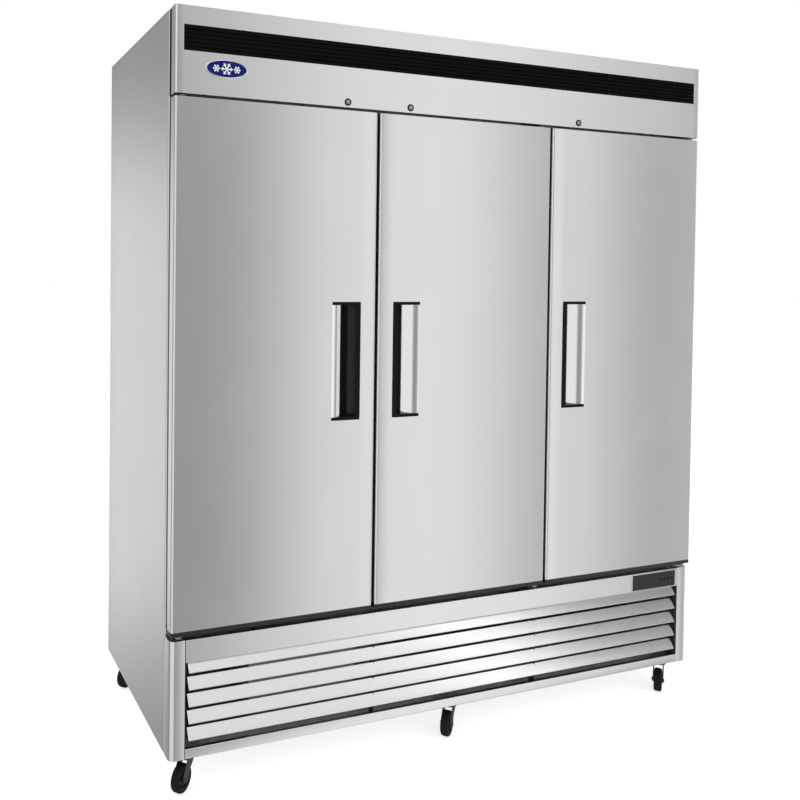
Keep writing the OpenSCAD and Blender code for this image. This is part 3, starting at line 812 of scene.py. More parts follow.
class FRIDGE_OT_back_panel(FridgeStep):
    """Back sheet with vent slots and screws, the cord gland and the rear bumpers"""

    bl_idname = "fridge.back_panel"
    bl_label = "Back panel"

    def execute(self, context):
        sizes = self.cabinet
        low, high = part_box("back_panel")
        outer = cad_box[1].y
        bumper = 6 * MM
        face = outer - bumper - sizes.sheet
        lip = 6 * MM
        slot_half = 6 * MM
        slot_low = low.z + 90 * MM
        slot_high = low.z + 240 * MM
        windows = []
        for slot in range(sizes.vent_slots):
            x = (slot - (sizes.vent_slots - 1) / 2) * sizes.vent_pitch
            near = (x - slot_half, face - 2 * MM, slot_low)
            far = (x + slot_half, face + MM, slot_high)
            windows.append((near, far))
        shape = Shape()
        path = bent(channel(low.x, high.x, face, face - lip), 2 * MM)
        shape.folded(path, low.z, high.z, sizes.sheet, windows)
        for x in (low.x + 0.03, -0.44, 0.0, 0.44, high.x - 0.03):
            for z in (low.z + 0.03, 0.50, high.z - 0.03):
                pan_head(shape, (x, face, z), 5 * MM, facing=FACING_BACK, material=1)
        finishes = ["zinc_sheet", "plated_steel"]
        shape.finish("back_sheet", "cabinet", "galvanised", finishes, ["back_panel"], 0.3 * MM)

        gland = Shape()
        gland_x = 760 * MM
        gland_z = 190 * MM
        spot = at(gland_x, face, gland_z) @ FACING_BACK
        outline = [(9, -8), (20, -8), (20, 1.5), (18, 3.2), (14, 4), (12.5, 5.6), (9, 5.6)]
        gland.turned(in_mm(*outline), spot, steps=40, closed=True)
        for ridge in range(12):
            turn = spun(30 * ridge)
            gland.block(mm(18.5, -1.2, 0), mm(20.6, 1.2, 2.4), spot @ turn)
        gland.finish("cord_gland", "cabinet", "galvanised", ["black_plastic"], edge=0.3 * MM)

        bumpers = Shape()
        half_x = 30 * MM
        half_z = 15 * MM
        middle = 1870 * MM
        screw = 18 * MM
        for x in (-0.5, 0.5):
            corners = rectangle((x - half_x, middle - half_z), (x + half_x, middle + half_z))
            outline = bent(corners, 6 * MM, closed=True)
            bumpers.plate(outline, face - 0.2 * MM, outer, STANDING)
            for offset in (-screw, screw):
                pan_head(bumpers, (x + offset, outer - 2.2 * MM, middle), 4 * MM, facing=FACING_BACK)
        bumpers.finish("rear_bumpers", "cabinet", "galvanised", ["tyre_rubber"], edge=1.2 * MM)
        return {"FINISHED"}


class FRIDGE_OT_carcass(FridgeStep):
    """Finishes of the top, foam, frame and base, which keep their CAD shapes"""

    bl_idname = "fridge.carcass"
    bl_label = "Carcass finishes"

    def execute(self, context):
        refinish("top_panel", "steel_top")
        refinish("insulation", "foam")
        refinish("front_frame", "steel_inner")
        refinish("base_frame", "zinc_sheet")
        refinish("evaporator_coil", "coil_fins")
        refinish("condenser_coil", "coil_fins")
        refinish("condensing_unit", "unit_paint")
        refinish("evaporator_cover", "white_enamel")
        # Painted shade: the door cores take black plastic instead of the door liner's colour, so the gap between
        # each door's wrap and the cabinet reads dark.
        for door in DOORS:
            refinish(door.node("core"), "black_plastic")
        return {"FINISHED"}


class FRIDGE_OT_header(FridgeStep):
    """Header cover over the doors, with its louvre strip"""

    bl_idname = "fridge.header"
    bl_label = "Header"

    def execute(self, context):
        sizes = self.cabinet
        doors = self.doors
        low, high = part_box("header_panel")
        strip_high = high.z - sizes.louvre_drop
        strip_low = strip_high - sizes.louvre_height
        strip_half = high.x - sizes.louvre_margin
        window = ((-strip_half, low.y - MM, strip_low), (strip_half, low.y + 2 * MM, strip_high))
        wrap = low.y + doors.wrap
        path = bent(channel(low.x, high.x, low.y, wrap), doors.edge_round)
        cover = Shape()
        cover.folded(path, low.z, high.z, sizes.sheet, [window])
        for bottom, back in ((low.z + 0.02 * MM, 44 * MM), (high.z - sizes.sheet, 57 * MM)):
            corners = rectangle(
                (low.x + sizes.sheet, low.y + sizes.sheet), (high.x - sizes.sheet, low.y + back)
            )
            inner = doors.edge_round - sizes.sheet
            cover.plate(bent(corners, [inner, inner, 0, 0], closed=True), bottom, bottom + sizes.sheet)
        finishes = ["steel_level"]
        cover.finish("header_cover", "cabinet", "stainless_front", finishes, ["header_panel"], 0.35 * MM)

        strip = Shape()
        pitch = sizes.louvre_height / sizes.louvre_ribs
        rear = low.y + 9 * MM
        groove = low.y + 5.5 * MM
        section = [(rear, strip_high - 0.2 * MM), (rear, strip_low + 0.2 * MM)]
        for rib in range(sizes.louvre_ribs):
            middle = strip_low + (rib + 0.5) * pitch
            section.append((groove, middle - 0.47 * pitch))
            for step in range(7):
                angle = math.radians(-78 + 26 * step)
                y = groove - 5.0 * MM * math.cos(angle)
                section.append((y, middle + 0.43 * pitch * math.sin(angle)))
            section.append((groove, middle + 0.47 * pitch))
        half = strip_half - 0.3 * MM
        strip.plate(section, -half, half, ALONG_X)
        for end in (-1, 1):
            strip.block(
                (end * half, low.y + 0.3 * MM, strip_low + 0.2 * MM),
                (end * (half - 3 * MM), low.y + 8.8 * MM, strip_high - 0.2 * MM),
            )
            strip.block(
                (end * (high.x - 2 * MM), wrap + 0.1 * MM, low.z + 1.4 * MM),
                (end * (high.x - 14 * MM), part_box("header_trim")[1].y, high.z - 1.4 * MM),
            )
        strip.finish("louvre_strip", "cabinet", "black_plastic", ["louvre_black"], ["header_trim"])
        return {"FINISHED"}


class FRIDGE_OT_badge(FridgeStep):
    """Oval badge with a bright rim and a plain snow crystal"""

    bl_idname = "fridge.badge"
    bl_label = "Badge"

    def execute(self, context):
        low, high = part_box("badge")
        middle = (low + high) / 2
        half_x = (high.x - low.x) / 2
        half_z = (high.z - low.z) / 2
        spot = at(middle.x, high.y, middle.z) @ FACING_FRONT
        oval = spot @ Matrix.Diagonal((half_x, half_z, 1, 1))
        shape = Shape()
        shape.turned([(0, 1.1 * MM), (0.93, 1.0 * MM), (0.93, 0), (0, 0)], oval, steps=72)
        rim = [(0.91, 0.2 * MM), (0.92, 1.5 * MM), (0.95, 2.0 * MM), (0.985, 1.5 * MM), (1.0, 0), (0.91, 0)]
        shape.turned(rim, oval, 1, steps=72, closed=True)
        for place, size in ((-0.48, 0.42), (0, 0.70), (0.48, 0.42)):
            self.crystal(shape, spot @ at(place * half_x, 0, 0), size * half_z)
        finishes = ["badge_enamel", "bright_metal", "white_enamel"]
        shape.finish("oval_badge", "cabinet", "badge", finishes, ["badge"])
        return {"FINISHED"}

    def crystal(self, shape, spot, arm):
        """A plain six-armed snow crystal, each arm with two branches."""
        thick = 0.055 * arm + 0.45 * MM
        for turn in range(3):
            spin = spot @ spun(60 * turn)
            shape.block((-arm, -thick, MM), (arm, thick, 1.5 * MM), spin, 2)
            for end in (-1, 1):
                for lean in (-1, 1):
                    branch = at(end * arm * 0.55, 0, 0)
                    branch = branch @ spun(90 - end * 90 + lean * 50)
                    thin = 0.7 * thick
                    shape.block((0, -thin, MM), (arm * 0.36, thin, 1.4 * MM), spin @ branch, 2)


class FRIDGE_OT_locks(FridgeStep):
    """Lock barrels in the header, and their plugs with keyways and cams"""

    bl_idname = "fridge.locks"
    bl_label = "Locks"

    def execute(self, context):
        barrels = Shape()
        for door in DOORS:
            pivot = Vector(JOINTS[f"{door.side}_lock_turn"]["pos_m"])
            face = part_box("header_panel")[0].y
            spot = at(pivot.x, face, pivot.z) @ FACING_FRONT
            flange = [
                (6.1, -22), (9, -22), (9, -1.3), (10.4, -0.1), (10.5, 1.2), (9.9, 2.1), (8.4, 2.5),
                (6.6, 2.4), (6.1, 1.9),
            ]
            barrels.turned(in_mm(*flange), spot, steps=40, closed=True)

            plug = Shape()
            plug.add(self.plug_head(), spot)
            plug.turned(in_mm((0, -0.5), (5.9, -0.5), (5.9, -26), (0, -26)), spot, steps=28)
            cam = bent(rectangle(mm(-7, -6), mm(36, 6)), 5 * MM, closed=True)
            lean = spot @ Matrix.Diagonal((door.turn, 1, 1, 1))
            plug.plate(cam, -26 * MM, -23.2 * MM, lean)
            nut = [spun(60 * corner) @ Vector((6 * MM, 0, 0)) for corner in range(6)]
            plug.plate(nut, -26 * MM, -22 * MM, spot)
            node = f"{door.side}_lock_plug"
            # The black plastic is the keyway's painted shade.
            finishes = ["lock_plug", "black_plastic"]
            plug.finish(node + "_turned", f"{door.side}_lock", "lock_metal", finishes, [node])
        # The barrels take the darkened lock metal: painted shade.
        barrels.finish("lock_barrels", "cabinet", "lock_metal", ["lock_rim_painted_shade"], ["lock_bodies"])
        return {"FINISHED"}

    def plug_head(self):
        """The plug's face: a disc with a keyway pressed into it, whose walls and floor are painted black as the
        recess's shade.
        """
        outline = [(0, -0.5), (5.9, -0.5), (5.9, 1.9), (5.3, 2.7), (0, 2.7)]
        part = turned_part(in_mm(*outline), 28)
        low, high = mm(-0.9, -3.8, 2.6), mm(0.9, 3.8, 2.8)
        for axis in (0, 1):
            cut_across(part, axis, low[axis])
            cut_across(part, axis, high[axis])
        keyway = faces_inside(part, low, high)
        made = bmesh.ops.extrude_face_region(part, geom=keyway)["geom"]
        bmesh.ops.translate(part, vec=(0, 0, -2.4 * MM), verts=verts_of(made))
        bmesh.ops.delete(part, geom=faces_inside(part, low, high), context="FACES")
        # Painted shade: the keyway's walls and floor take the second finish, black plastic.
        for face in faces_inside(part, mm(-0.95, -3.85, 0.1), mm(0.95, 3.85, 2.5)):
            face.material_index = 1
        return part


# ---------- Doors ----------


class FRIDGE_OT_door_skins(FridgeStep):
    """Stainless skins of the doors, each with its handle's cutout"""

    bl_idname = "fridge.door_skins"
    bl_label = "Door skins"

    def execute(self, context):
        sizes = self.doors
        sheet = self.cabinet.sheet
        for door in DOORS:
            path = bent(channel(-door.half, door.half, 0, sizes.wrap), sizes.edge_round)
            window = (
                (door.handle_x, -MM, door.handle_z - door.handle_half),
                (door.handle_x + door.handle_width, 3 * MM, door.handle_z + door.handle_half),
            )
            shape = Shape()
            shape.folded(path, door.low, door.high, sheet, [window], door.place)
            node = door.node("skin")
            finishes = ["steel_upright"]
            shape.finish(node + "_sheet", door.body, "stainless_front", finishes, [node], 0.4 * MM)
        return {"FINISHED"}


class FRIDGE_OT_door_caps(FridgeStep):
    """Black caps that close the doors' tops and bottoms"""

    bl_idname = "fridge.door_caps"
    bl_label = "Door caps"

    def execute(self, context):
        sizes = self.doors
        inset = self.cabinet.sheet + 0.1 * MM
        depth = 48 * MM
        inner = sizes.edge_round - self.cabinet.sheet
        for door in DOORS:
            shape = Shape()
            corners = rectangle((-door.half, 0), (door.half, depth))
            outer = bent(corners, [sizes.edge_round] * 2 + [MM] * 2, True)
            shape.plate(outer, door.low - sizes.cap_drop, door.low, door.place)
            corners = rectangle((-door.half + inset, inset), (door.half - inset, depth))
            plug = bent(corners, [inner, inner, 0, 0], True)
            shape.plate(plug, door.high - 20 * MM, door.high, door.place)
            bush = door.place @ at(*door.pin, door.low - sizes.cap_drop)
            washer = [(6.2, -0.1), (6.2, 1), (12, 1), (12, -0.1)]
            shape.turned(in_mm(*washer), bush, steps=32, closed=True)
            node = door.node("caps")
            shape.finish(node + "_moulded", door.body, "black_plastic", ["black_plastic"], [node], 0.8 * MM)
        return {"FINISHED"}


class FRIDGE_OT_door_handles(FridgeStep):
    """Black handle bezels, and the polished scoops behind them"""

    bl_idname = "fridge.door_handles"
    bl_label = "Door handles"

    def execute(self, context):
        sizes = self.doors
        steps = 18
        for door in DOORS:
            width = door.handle_width
            half = door.handle_half
            inner = half - sizes.arm
            spot = door.place @ at(door.handle_x, 0, door.handle_z)
            across = [sizes.bar + (width - sizes.bar) * step / steps for step in range(steps + 1)]
            scoop = [(x, self.scoop_depth(x, width)) for x in across]
            behind = [(x, y + self.cabinet.sheet) for x, y in reversed(scoop)]

            bezel = Shape()
            outline = [
                (0, -half), (width, -half), (width, -inner), (sizes.bar, -inner),
                (sizes.bar, inner), (width, inner), (width, half), (0, half),
            ]
            arm_end = sizes.arm * 0.49
            radii = [8 * MM, arm_end, arm_end, 3 * MM, 3 * MM, arm_end, arm_end, 8 * MM]
            plate = bent(outline, radii, closed=True, steps=6)
            bezel.plate(plate, -0.5 * MM, MM, spot @ FACING_FRONT)
            bezel.block((0.6 * MM, 0, -half + MM), (sizes.bar, sizes.scoop, half - MM), spot)
            arm = [(sizes.bar - MM, 0.2 * MM), (width - 2 * MM, 0.2 * MM)]
            arm += [point for point in behind if point[0] < width - 3 * MM]
            for base in (-half + 0.6 * MM, inner):
                bezel.plate(arm, base, base + sizes.arm - 0.6 * MM, spot)
            node = door.node("handle")
            name = door.side + "_handle_bezel"
            bezel.finish(name, door.body, "handle", ["satin_black"], [node], 0.5 * MM)

            hollow = Shape()
            hollow.plate(scoop + behind, -inner, inner, spot)
            hollow.finish(door.side + "_handle_scoop", door.body, "stainless_front", ["polished"])
        return {"FINISHED"}

    def scoop_depth(self, x, width):
        """Depth of the hollow's face: level beside the bar, then rising ever more gently to the skin."""
        sizes = self.doors
        rise = max(0.0, (x - 2 * sizes.bar) / (width - 2 * sizes.bar))
        return (sizes.scoop - self.cabinet.sheet) * (1 - rise) ** 2

class FRIDGE_OT_door_insides(FridgeStep):
    """Raised inner panels and bellows gaskets of the doors"""

    bl_idname = "fridge.door_insides"
    bl_label = "Door insides"

    def execute(self, context):
        sizes = self.doors
        inset = sizes.gasket_inset
        for door in DOORS:
            middle = (door.low + door.high) / 2
            half_z = (door.high - door.low) / 2
            back = door.place @ at(0, 48 * MM, middle) @ FACING_BACK

            panel = Shape()
            half_x = door.half - sizes.liner_inset
            high = half_z - sizes.liner_inset - 12 * MM
            corners = rectangle((-half_x, -high), (half_x, high))
            part = plate_part(bent(corners, 30 * MM, closed=True), -0.5 * MM, 0.3 * MM)
            for width, rise in ((9 * MM, sizes.liner_rise), (5 * MM, 0.0), (6 * MM, -2.5 * MM)):
                top = max(part.faces, key=lambda face: round(face.normal.z * face.calc_area(), 9))
                bmesh.ops.inset_region(part, faces=[top], thickness=width, depth=rise, use_even_offset=True)
            panel.add(part, back, 0)
            panel.finish(door.side + "_door_liner", door.body, "door_liner", ["steel_inner"], edge=0.6 * MM)

            gasket = Shape()
            profile = [
                (0, 0), (0, 1.6), (1.8, 3.0), (0.6, 5.0), (0.2, 8.2), (1.2, 11.2), (3.4, 12.4), (11.4, 12.4),
                (13.8, 11.2), (14.8, 8.2), (14.4, 5.0), (13.2, 3.0), (15, 1.6), (15, 0),
            ]
            gasket.ring(in_mm(*profile), door.half - inset, half_z - inset, back)
            node = door.node("gasket")
            gasket.finish(node + "_bellows", door.body, "gasket", ["vinyl"], [node], 0.4 * MM)
        return {"FINISHED"}


class FRIDGE_OT_hinges(FridgeStep):
    """Hinge plates with their pins, legs and screws"""

    bl_idname = "fridge.hinges"
    bl_label = "Hinges"

    def execute(self, context):
        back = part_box("hinge_brackets")[1].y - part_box("left_door_skin")[0].y
        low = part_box("hinge_brackets")[0].z
        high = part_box("hinge_brackets")[1].z
        r = 10 * MM
        shape = Shape()
        for door in DOORS:
            foot = door.low - self.doors.cap_drop
            spot = door.place @ at(*door.pin, 0)
            reach = back - door.pin[1]
            outline = bent(channel(-r, r, -r, reach), [0, r * 0.99, r * 0.99, 0], True, steps=8)
            shape.plate(outline, door.high + 2 * MM, door.high + 6 * MM, spot)
            shape.rod((0, 0, door.high - 18 * MM), (0, 0, door.high + 7.5 * MM), 5 * MM, 24, spot)
            shape.plate(outline, foot - 9 * MM, foot - 4 * MM, spot)
            bush = [(6.1, 0), (9, 0), (9, 3.9), (6.1, 3.9)]
            lift = spot @ at(0, 0, foot - 4.5 * MM)
            shape.turned(in_mm(*bush), lift, steps=24, closed=True)
            shape.rod((0, 0, foot - 11 * MM), (0, 0, foot + 18 * MM), 6 * MM, 24, spot)
            for leg_low, leg_high, screws in (
                (door.high + 5 * MM, high, (high - 12 * MM, high - 28 * MM)),
                (low, foot - 5 * MM, (low + 9 * MM, low + 24 * MM)),
            ):
                shape.block((-r, reach - 3.2 * MM, leg_low), (r, reach, leg_high), spot)
                for z in screws:
                    pan_head(shape, (0, reach - 3.2 * MM, z), 4 * MM, spot)
        finishes = ["plated_steel"]
        shape.finish("hinge_plates", "cabinet", "zinc_steel", finishes, ["hinge_brackets"], 0.6 * MM)
        return {"FINISHED"}


# ---------- Base front ----------


class FRIDGE_OT_grille(FridgeStep):
    """Fascia with the control window's opening, leaning slats and bottom rail"""

    bl_idname = "fridge.grille"
    bl_label = "Grille"

    def execute(self, context):
        sizes = self.cabinet
        low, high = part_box("grille_panel")
        face = low.y
        first = high.z - sizes.fascia
        deep = face + 42 * MM
        panel_low, panel_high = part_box("control_panel")
        gap = 0.4 * MM
        opening = (
            (face - MM, panel_low.z - gap, panel_low.x - gap),
            (face + 3 * MM, panel_high.z + gap, panel_high.x + gap),
        )
        shape = Shape()
        ledge = face + sizes.slat_depth
        corners = [(deep, high.z), (face, high.z), (face, first), (ledge, first)]
        path = bent(corners, 2.5 * MM)
        shape.folded(path, low.x, high.x, sizes.sheet, [opening], ALONG_X)
        end = 10 * MM
        lip = sizes.slat_drop + 2 * MM
        for slat in range(sizes.slats):
            top = first - slat * sizes.slat_pitch
            front = top - sizes.slat_drop
            corners = [(ledge, top), (face, front), (face, top - lip), (face + 9 * MM, top - lip)]
            path = bent(corners, 0.9 * MM, steps=3)
            shape.folded(path, low.x + end, high.x - end, sizes.sheet, matrix=ALONG_X)
        rail = first - sizes.slats * sizes.slat_pitch - 4 * MM
        path = bent([(deep, low.z), (face, low.z), (face, rail), (face + 12 * MM, rail)], 2.5 * MM)
        shape.folded(path, low.x, high.x, sizes.sheet, matrix=ALONG_X)
        span = high.x - low.x
        # Painted shade: the braces behind the slats take the black unit paint, so the gaps between slats read
        # dark.
        for x in (low.x, low.x + span / 3, low.x + span * 2 / 3, high.x - 2 * MM):
            shape.block((x, ledge - 2 * MM, low.z + MM), (x + 2 * MM, deep, high.z - MM), material=1)
        # Painted shade: the end plates beside the posts are black as well, for the dark gaps at the slats' ends.
        for x in (low.x + 0.2 * MM, high.x - 1.7 * MM):
            shape.block((x, face + 3 * MM, rail), (x + 1.5 * MM, deep, first), material=1)
        # The second finish is painted shade on the braces and end plates.
        finishes = ["steel_slat", "unit_paint"]
        shape.finish("grille_slats", "cabinet", "stainless_front", finishes, ["grille_panel"], 0.3 * MM)
        return {"FINISHED"}


class FRIDGE_OT_corner_posts(FridgeStep):
    """Rounded posts at both ends of the grille"""

    bl_idname = "fridge.corner_posts"
    bl_label = "Corner posts"

    def execute(self, context):
        sizes = self.cabinet
        low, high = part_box("corner_posts")
        shape = Shape()
        inner = low.x + sizes.post_width
        outline = channel(low.x, inner, low.y, high.y)
        radii = [0, sizes.post_round, 2.5 * MM, 0]
        inset = 1.1 * MM
        cap = channel(low.x + inset, inner - inset, low.y + inset, high.y)
        for side in (1, -1):
            mirror = Matrix.Diagonal((side, 1, 1, 1))
            shape.folded(bent(outline, radii, steps=8), low.z, high.z, sizes.sheet, matrix=mirror)
            for z in (low.z, high.z - sizes.sheet):
                lid = bent(cap, [0, sizes.post_round - inset, 1.4 * MM, 0], True, steps=8)
                shape.plate(lid, z, z + sizes.sheet, mirror)
        finishes = ["steel_upright"]
        shape.finish("grille_posts", "cabinet", "stainless_front", finishes, ["corner_posts"], 0.3 * MM)
        return {"FINISHED"}


class FRIDGE_OT_control_window(FridgeStep):
    """Gloss black control window with a thin frame, and its four keys"""

    bl_idname = "fridge.control_window"
    bl_label = "Control window"

    def execute(self, context):
        low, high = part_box("control_panel")
        front = at(0, low.y, 0) @ FACING_FRONT
        shape = Shape()
        inset = 2.2 * MM
        glass = rectangle((low.x + inset, low.z + inset), (high.x - inset, high.z - inset))
        shape.plate(bent(glass, 1.5 * MM, closed=True), -26 * MM, -0.5 * MM, front)
        middle = (low + high) / 2
        rim = in_mm((0, -4), (0, -0.3), (0.6, 0), (2.0, 0), (2.4, -0.6), (2.4, -4))
        half = (high - low) / 2
        spot = front @ at(middle.x, middle.z, 0)
        shape.ring(rim, half.x, half.z, spot, 1)
        finishes = ["gloss_black", "steel_level"]
        shape.finish("control_glass", "cabinet", "gloss_black", finishes, ["control_panel"])
        for key in ("set", "up", "down", "power"):
            node = f"key_{key}"
            key_low, key_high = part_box(node)
            centre = (key_low + key_high) / 2
            radius = (key_high.x - key_low.x) / 2
            button = Shape()
            outline = [
                (0, radius * 0.05), (radius * 0.55, radius * 0.03), (radius * 0.80, 0.22 * MM),
                (radius * 0.94, 0.10 * MM), (radius, -0.25 * MM), (radius, -5 * MM), (0, -5 * MM),
            ]
            lift = at(centre.x, key_low.y + 0.25 * MM, centre.z) @ FACING_FRONT
            button.turned(outline, lift, steps=32)
            button.finish(node + "_button", f"{key}_button", "key", ["key_plastic"], [node])
        return {"FINISHED"}


# ---------- Inside ----------


class FRIDGE_OT_liner(FridgeStep):
    """White liner with coved corners"""

    bl_idname = "fridge.liner"
    bl_label = "Liner"

    def execute(self, context):
        low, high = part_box("inner_liner")
        wall = MM
        shape = Shape()
        corner = (low.x + wall, low.y, low.z + wall)
        far_corner = (high.x - wall, high.y - wall, high.z - wall)
        part = block_part(corner, far_corner)
        front = min(part.faces, key=lambda face: face.calc_center_median().y)
        rim = set(front.edges)
        bmesh.ops.delete(part, geom=[front], context="FACES_ONLY")
        rounded_edges(part, [edge for edge in part.edges if edge not in rim], self.inside.liner_round, 5)
        bmesh.ops.recalc_face_normals(part, faces=part.faces)
        bmesh.ops.solidify(part, geom=part.faces[:], thickness=-0.9 * wall)
        shape.add(part)
        shape.finish("coved_liner", "cabinet", "liner", ["white_enamel"], ["inner_liner"])
        return {"FINISHED"}


class FRIDGE_OT_shelves(FridgeStep):
    """Wire shelves on slotted standards, with their clips"""

    bl_idname = "fridge.shelves"
    bl_label = "Shelves"

    def execute(self, context):
        sizes = self.inside
        low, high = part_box("shelves")
        door_gap = 8 * MM
        mullion = DOORS[1].half + door_gap / 2
        gap = 6 * MM
        sections = ((low.x, -mullion - gap), (-mullion + gap, mullion - gap), (mullion + gap, high.x))
        spacing = (high.z - low.z - sizes.shelf_frame - sizes.shelf_wire) / 2
        levels = [low.z + spacing * level for level in range(3)]
        shape = Shape()
        for left, right in sections:
            for z in levels:
                self.shelf(shape, left, right, low.y, high.y, z)
        shape.finish("wire_shelves", "cabinet", "shelf_wire", ["shelf_chrome"], ["shelves"])

        uprights = Shape()
        post_low, post_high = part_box("shelf_supports")
        inset = 60 * MM
        side_ys = (low.y + inset, high.y - inset)
        wall_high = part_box("inner_liner")[1]
        inner_x = wall_high.x - MM
        mullion_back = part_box("front_frame")[1].y
        spots = []
        for y in side_ys:
            spots.append(at(-inner_x, y, 0) @ spun(-90))
            spots.append(at(inner_x, y, 0) @ spun(90))
        for x in (-mullion, mullion):
            spots.append(at(x, mullion_back, 0))
            spots.append(at(x, wall_high.y - MM, 0) @ spun(180))
        for spot in spots:
            self.standard(uprights, post_low.z, post_high.z, levels, spot)
        # The plated steel serves the clips and the slots' painted shade.
        finishes = ["steel_inner", "plated_steel"]
        uprights.finish("slotted_standards", "cabinet", "zinc_steel", finishes, ["shelf_supports"])
        return {"FINISHED"}

    def shelf(self, shape, left, right, front, back, z):
        """One shelf: an outer frame and a cross bar, with thin wires on top."""
        sizes = self.inside
        r = sizes.shelf_frame / 2
        wire = sizes.shelf_wire / 2
        middle = z + r
        for y in (front + r, (front + back) / 2, back - r):
            shape.rod((left + r, y, middle), (right - r, y, middle), r, 10)
        turns = [math.radians(36 * step) for step in range(6)]
        ball = [(r * math.sin(turn), -r * math.cos(turn)) for turn in turns]
        for x in (left + r, right - r):
            shape.rod((x, front + r, middle), (x, back - r, middle), r, 10)
            for y in (front + r, back - r):
                shape.turned(ball, at(x, y, middle), steps=10)
        step = (right - left - 2 * wire) / (sizes.shelf_wires - 1)
        top = z + 2 * r + wire
        for index in range(sizes.shelf_wires):
            x = left + wire + index * step
            shape.rod((x, front + wire, top), (x, back - wire, top), wire, 6)

    def standard(self, shape, low, high, levels, matrix):
        """One upright: a channel whose face carries slots, and a clip under each shelf; the slots are not cut but
        are plates of darker plated steel, painted shade for the openings.
        """
        sizes = self.inside
        half = sizes.standard_width / 2
        depth = sizes.standard_depth
        path = bent(channel(-half, half, depth, 0.6 * MM), 1.5 * MM, steps=3)
        count = int((high - low - 0.03) / sizes.slot_pitch)
        shape.folded(path, low, high, 1.3 * MM, matrix=matrix)
        # Painted shade: each slot is a thin plate of the darker plated steel set in the face, standing in for the
        # opening.
        for index in range(count):
            z = low + 0.02 + index * sizes.slot_pitch
            slot = bent(rectangle((-2.2 * MM, z), (2.2 * MM, z + 10 * MM)), 2 * MM, closed=True, steps=2)
            shape.plate(slot, depth - 0.6 * MM, depth + 0.15 * MM, matrix @ STANDING, 1)
        wing = half + 8 * MM
        near = depth + 0.3 * MM
        far = depth + 18 * MM
        for z in levels:
            path = bent([(near, z - 12 * MM), (near, z - MM), (far, z - MM), (far, z - 5 * MM)], 2 * MM)
            shape.folded(path, -wing, wing, 1.5 * MM, matrix=matrix @ ALONG_X, material=1)


class FRIDGE_OT_cold_air(FridgeStep):
    """Fan guards and cabinet light on the evaporator cover"""

    bl_idname = "fridge.cold_air"
    bl_label = "Guards and light"

    def execute(self, context):
        guards = Shape()
        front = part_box("evaporator_cover")[0]
        for side in ("left", "right"):
            low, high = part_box(f"{side}_evaporator_fan")
            middle = (low + high) / 2
            radius = (high.z - low.z) / 2
            cover_face = 70 * MM
            spot = at(middle.x, cover_face - 3.2 * MM, middle.z) @ FACING_FRONT
            rings = self.inside.guard_rings
            for ring in range(rings):
                share = (ring + 1) / rings
                guards.hoop((radius + 12 * MM) * share, 1.4 * MM, spot, steps=36, sides=6)
            for spoke in range(6):
                turn = spot @ spun(60 * spoke + 30)
                guards.rod((10 * MM, 0, -2 * MM), (radius + 15 * MM, 0, -2 * MM), 1.6 * MM, 8, turn)
            guards.turned(in_mm((0, 1.6), (11, 1.6), (12.5, 0.6), (12.5, -3), (0, -3)), spot, steps=24)
        guards.finish("fan_guards", "cabinet", "shelf_wire", ["shelf_chrome"])

        lamp = Shape()
        y = front.y + 25 * MM
        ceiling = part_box("evaporator_cover")[1].z
        section = [(y - 15.6 * MM, ceiling - 0.2 * MM)]
        for step in range(9):
            angle = math.radians(180 + 22.5 * step)
            section.append((y + 15.6 * MM * math.cos(angle), ceiling - 8 * MM + 15 * MM * math.sin(angle)))
        section.append((y + 15.6 * MM, ceiling - 0.2 * MM))
        half = 640.5 * MM
        lamp.plate(section, -half, half, ALONG_X)
        for end in (-1, 1):
            lamp.block(
                (end * (half + 0.5 * MM), y - 17 * MM, ceiling - 25 * MM),
                (end * (half + 14.5 * MM), y + 17 * MM, ceiling - 0.2 * MM),
                material=1,
                round_by=4 * MM,
            )
        lamp.finish("cabinet_lamp", "cabinet", "liner", ["lamp_cover", "white_enamel"])
        return {"FINISHED"}


class FRIDGE_OT_fans(FridgeStep):
    """Rotors with twisted blades"""

    bl_idname = "fridge.fans"
    bl_label = "Fans"

    def execute(self, context):
        for name, hub in (("left_evaporator", 24), ("right_evaporator", 24), ("condenser", 34)):
            node = f"{name}_fan"
            low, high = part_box(node)
            radius = (high.z - low.z) / 2 * 0.985
            middle = JOINTS[f"{node}_spin"]["pos_m"]
            spot = Matrix.Translation(middle) @ FACING_BACK
            shape = Shape()
            outline = [(4.2, -15), (hub * 0.82, -15), (hub, -12), (hub, 13.4), (hub - 1.6, 15), (4.2, 15)]
            shape.turned(in_mm(*outline), spot, steps=36, closed=True)
            shape.turned(in_mm((0, -17), (4, -16.4), (4, 4), (0, 4)), spot, steps=16)
            for blade in range(5):
                turn = spun(72 * blade)
                self.blade(shape, hub * MM, radius, spot @ turn)
            shape.finish(node + "_rotor", f"{name}_rotor", "fan_plastic", ["fan_plastic"], [node])
        return {"FINISHED"}

    def blade(self, shape, hub, radius, matrix):
        """One blade: wide at the tip, swept forward, and steeper at the hub."""
        part = bmesh.new()
        bmesh.ops.create_grid(part, x_segments=7, y_segments=6, size=1)
        for vert in part.verts:
            along = (vert.co.x + 1) / 2
            across = vert.co.y
            distance = hub * 0.96 + (radius - hub * 0.96) * along
            distance -= radius * 0.05 * along * abs(across) ** 3
            angle = math.radians(27 * across + 12 * along)
            lift = -across * (0.0125 - 0.003 * along) + 0.002 * (1 - across * across)
            vert.co = (distance * math.cos(angle), distance * math.sin(angle), lift)
        bmesh.ops.solidify(part, geom=part.faces[:], thickness=1.8 * MM)
        shape.add(part, matrix, 0)


# ---------- Casters ----------


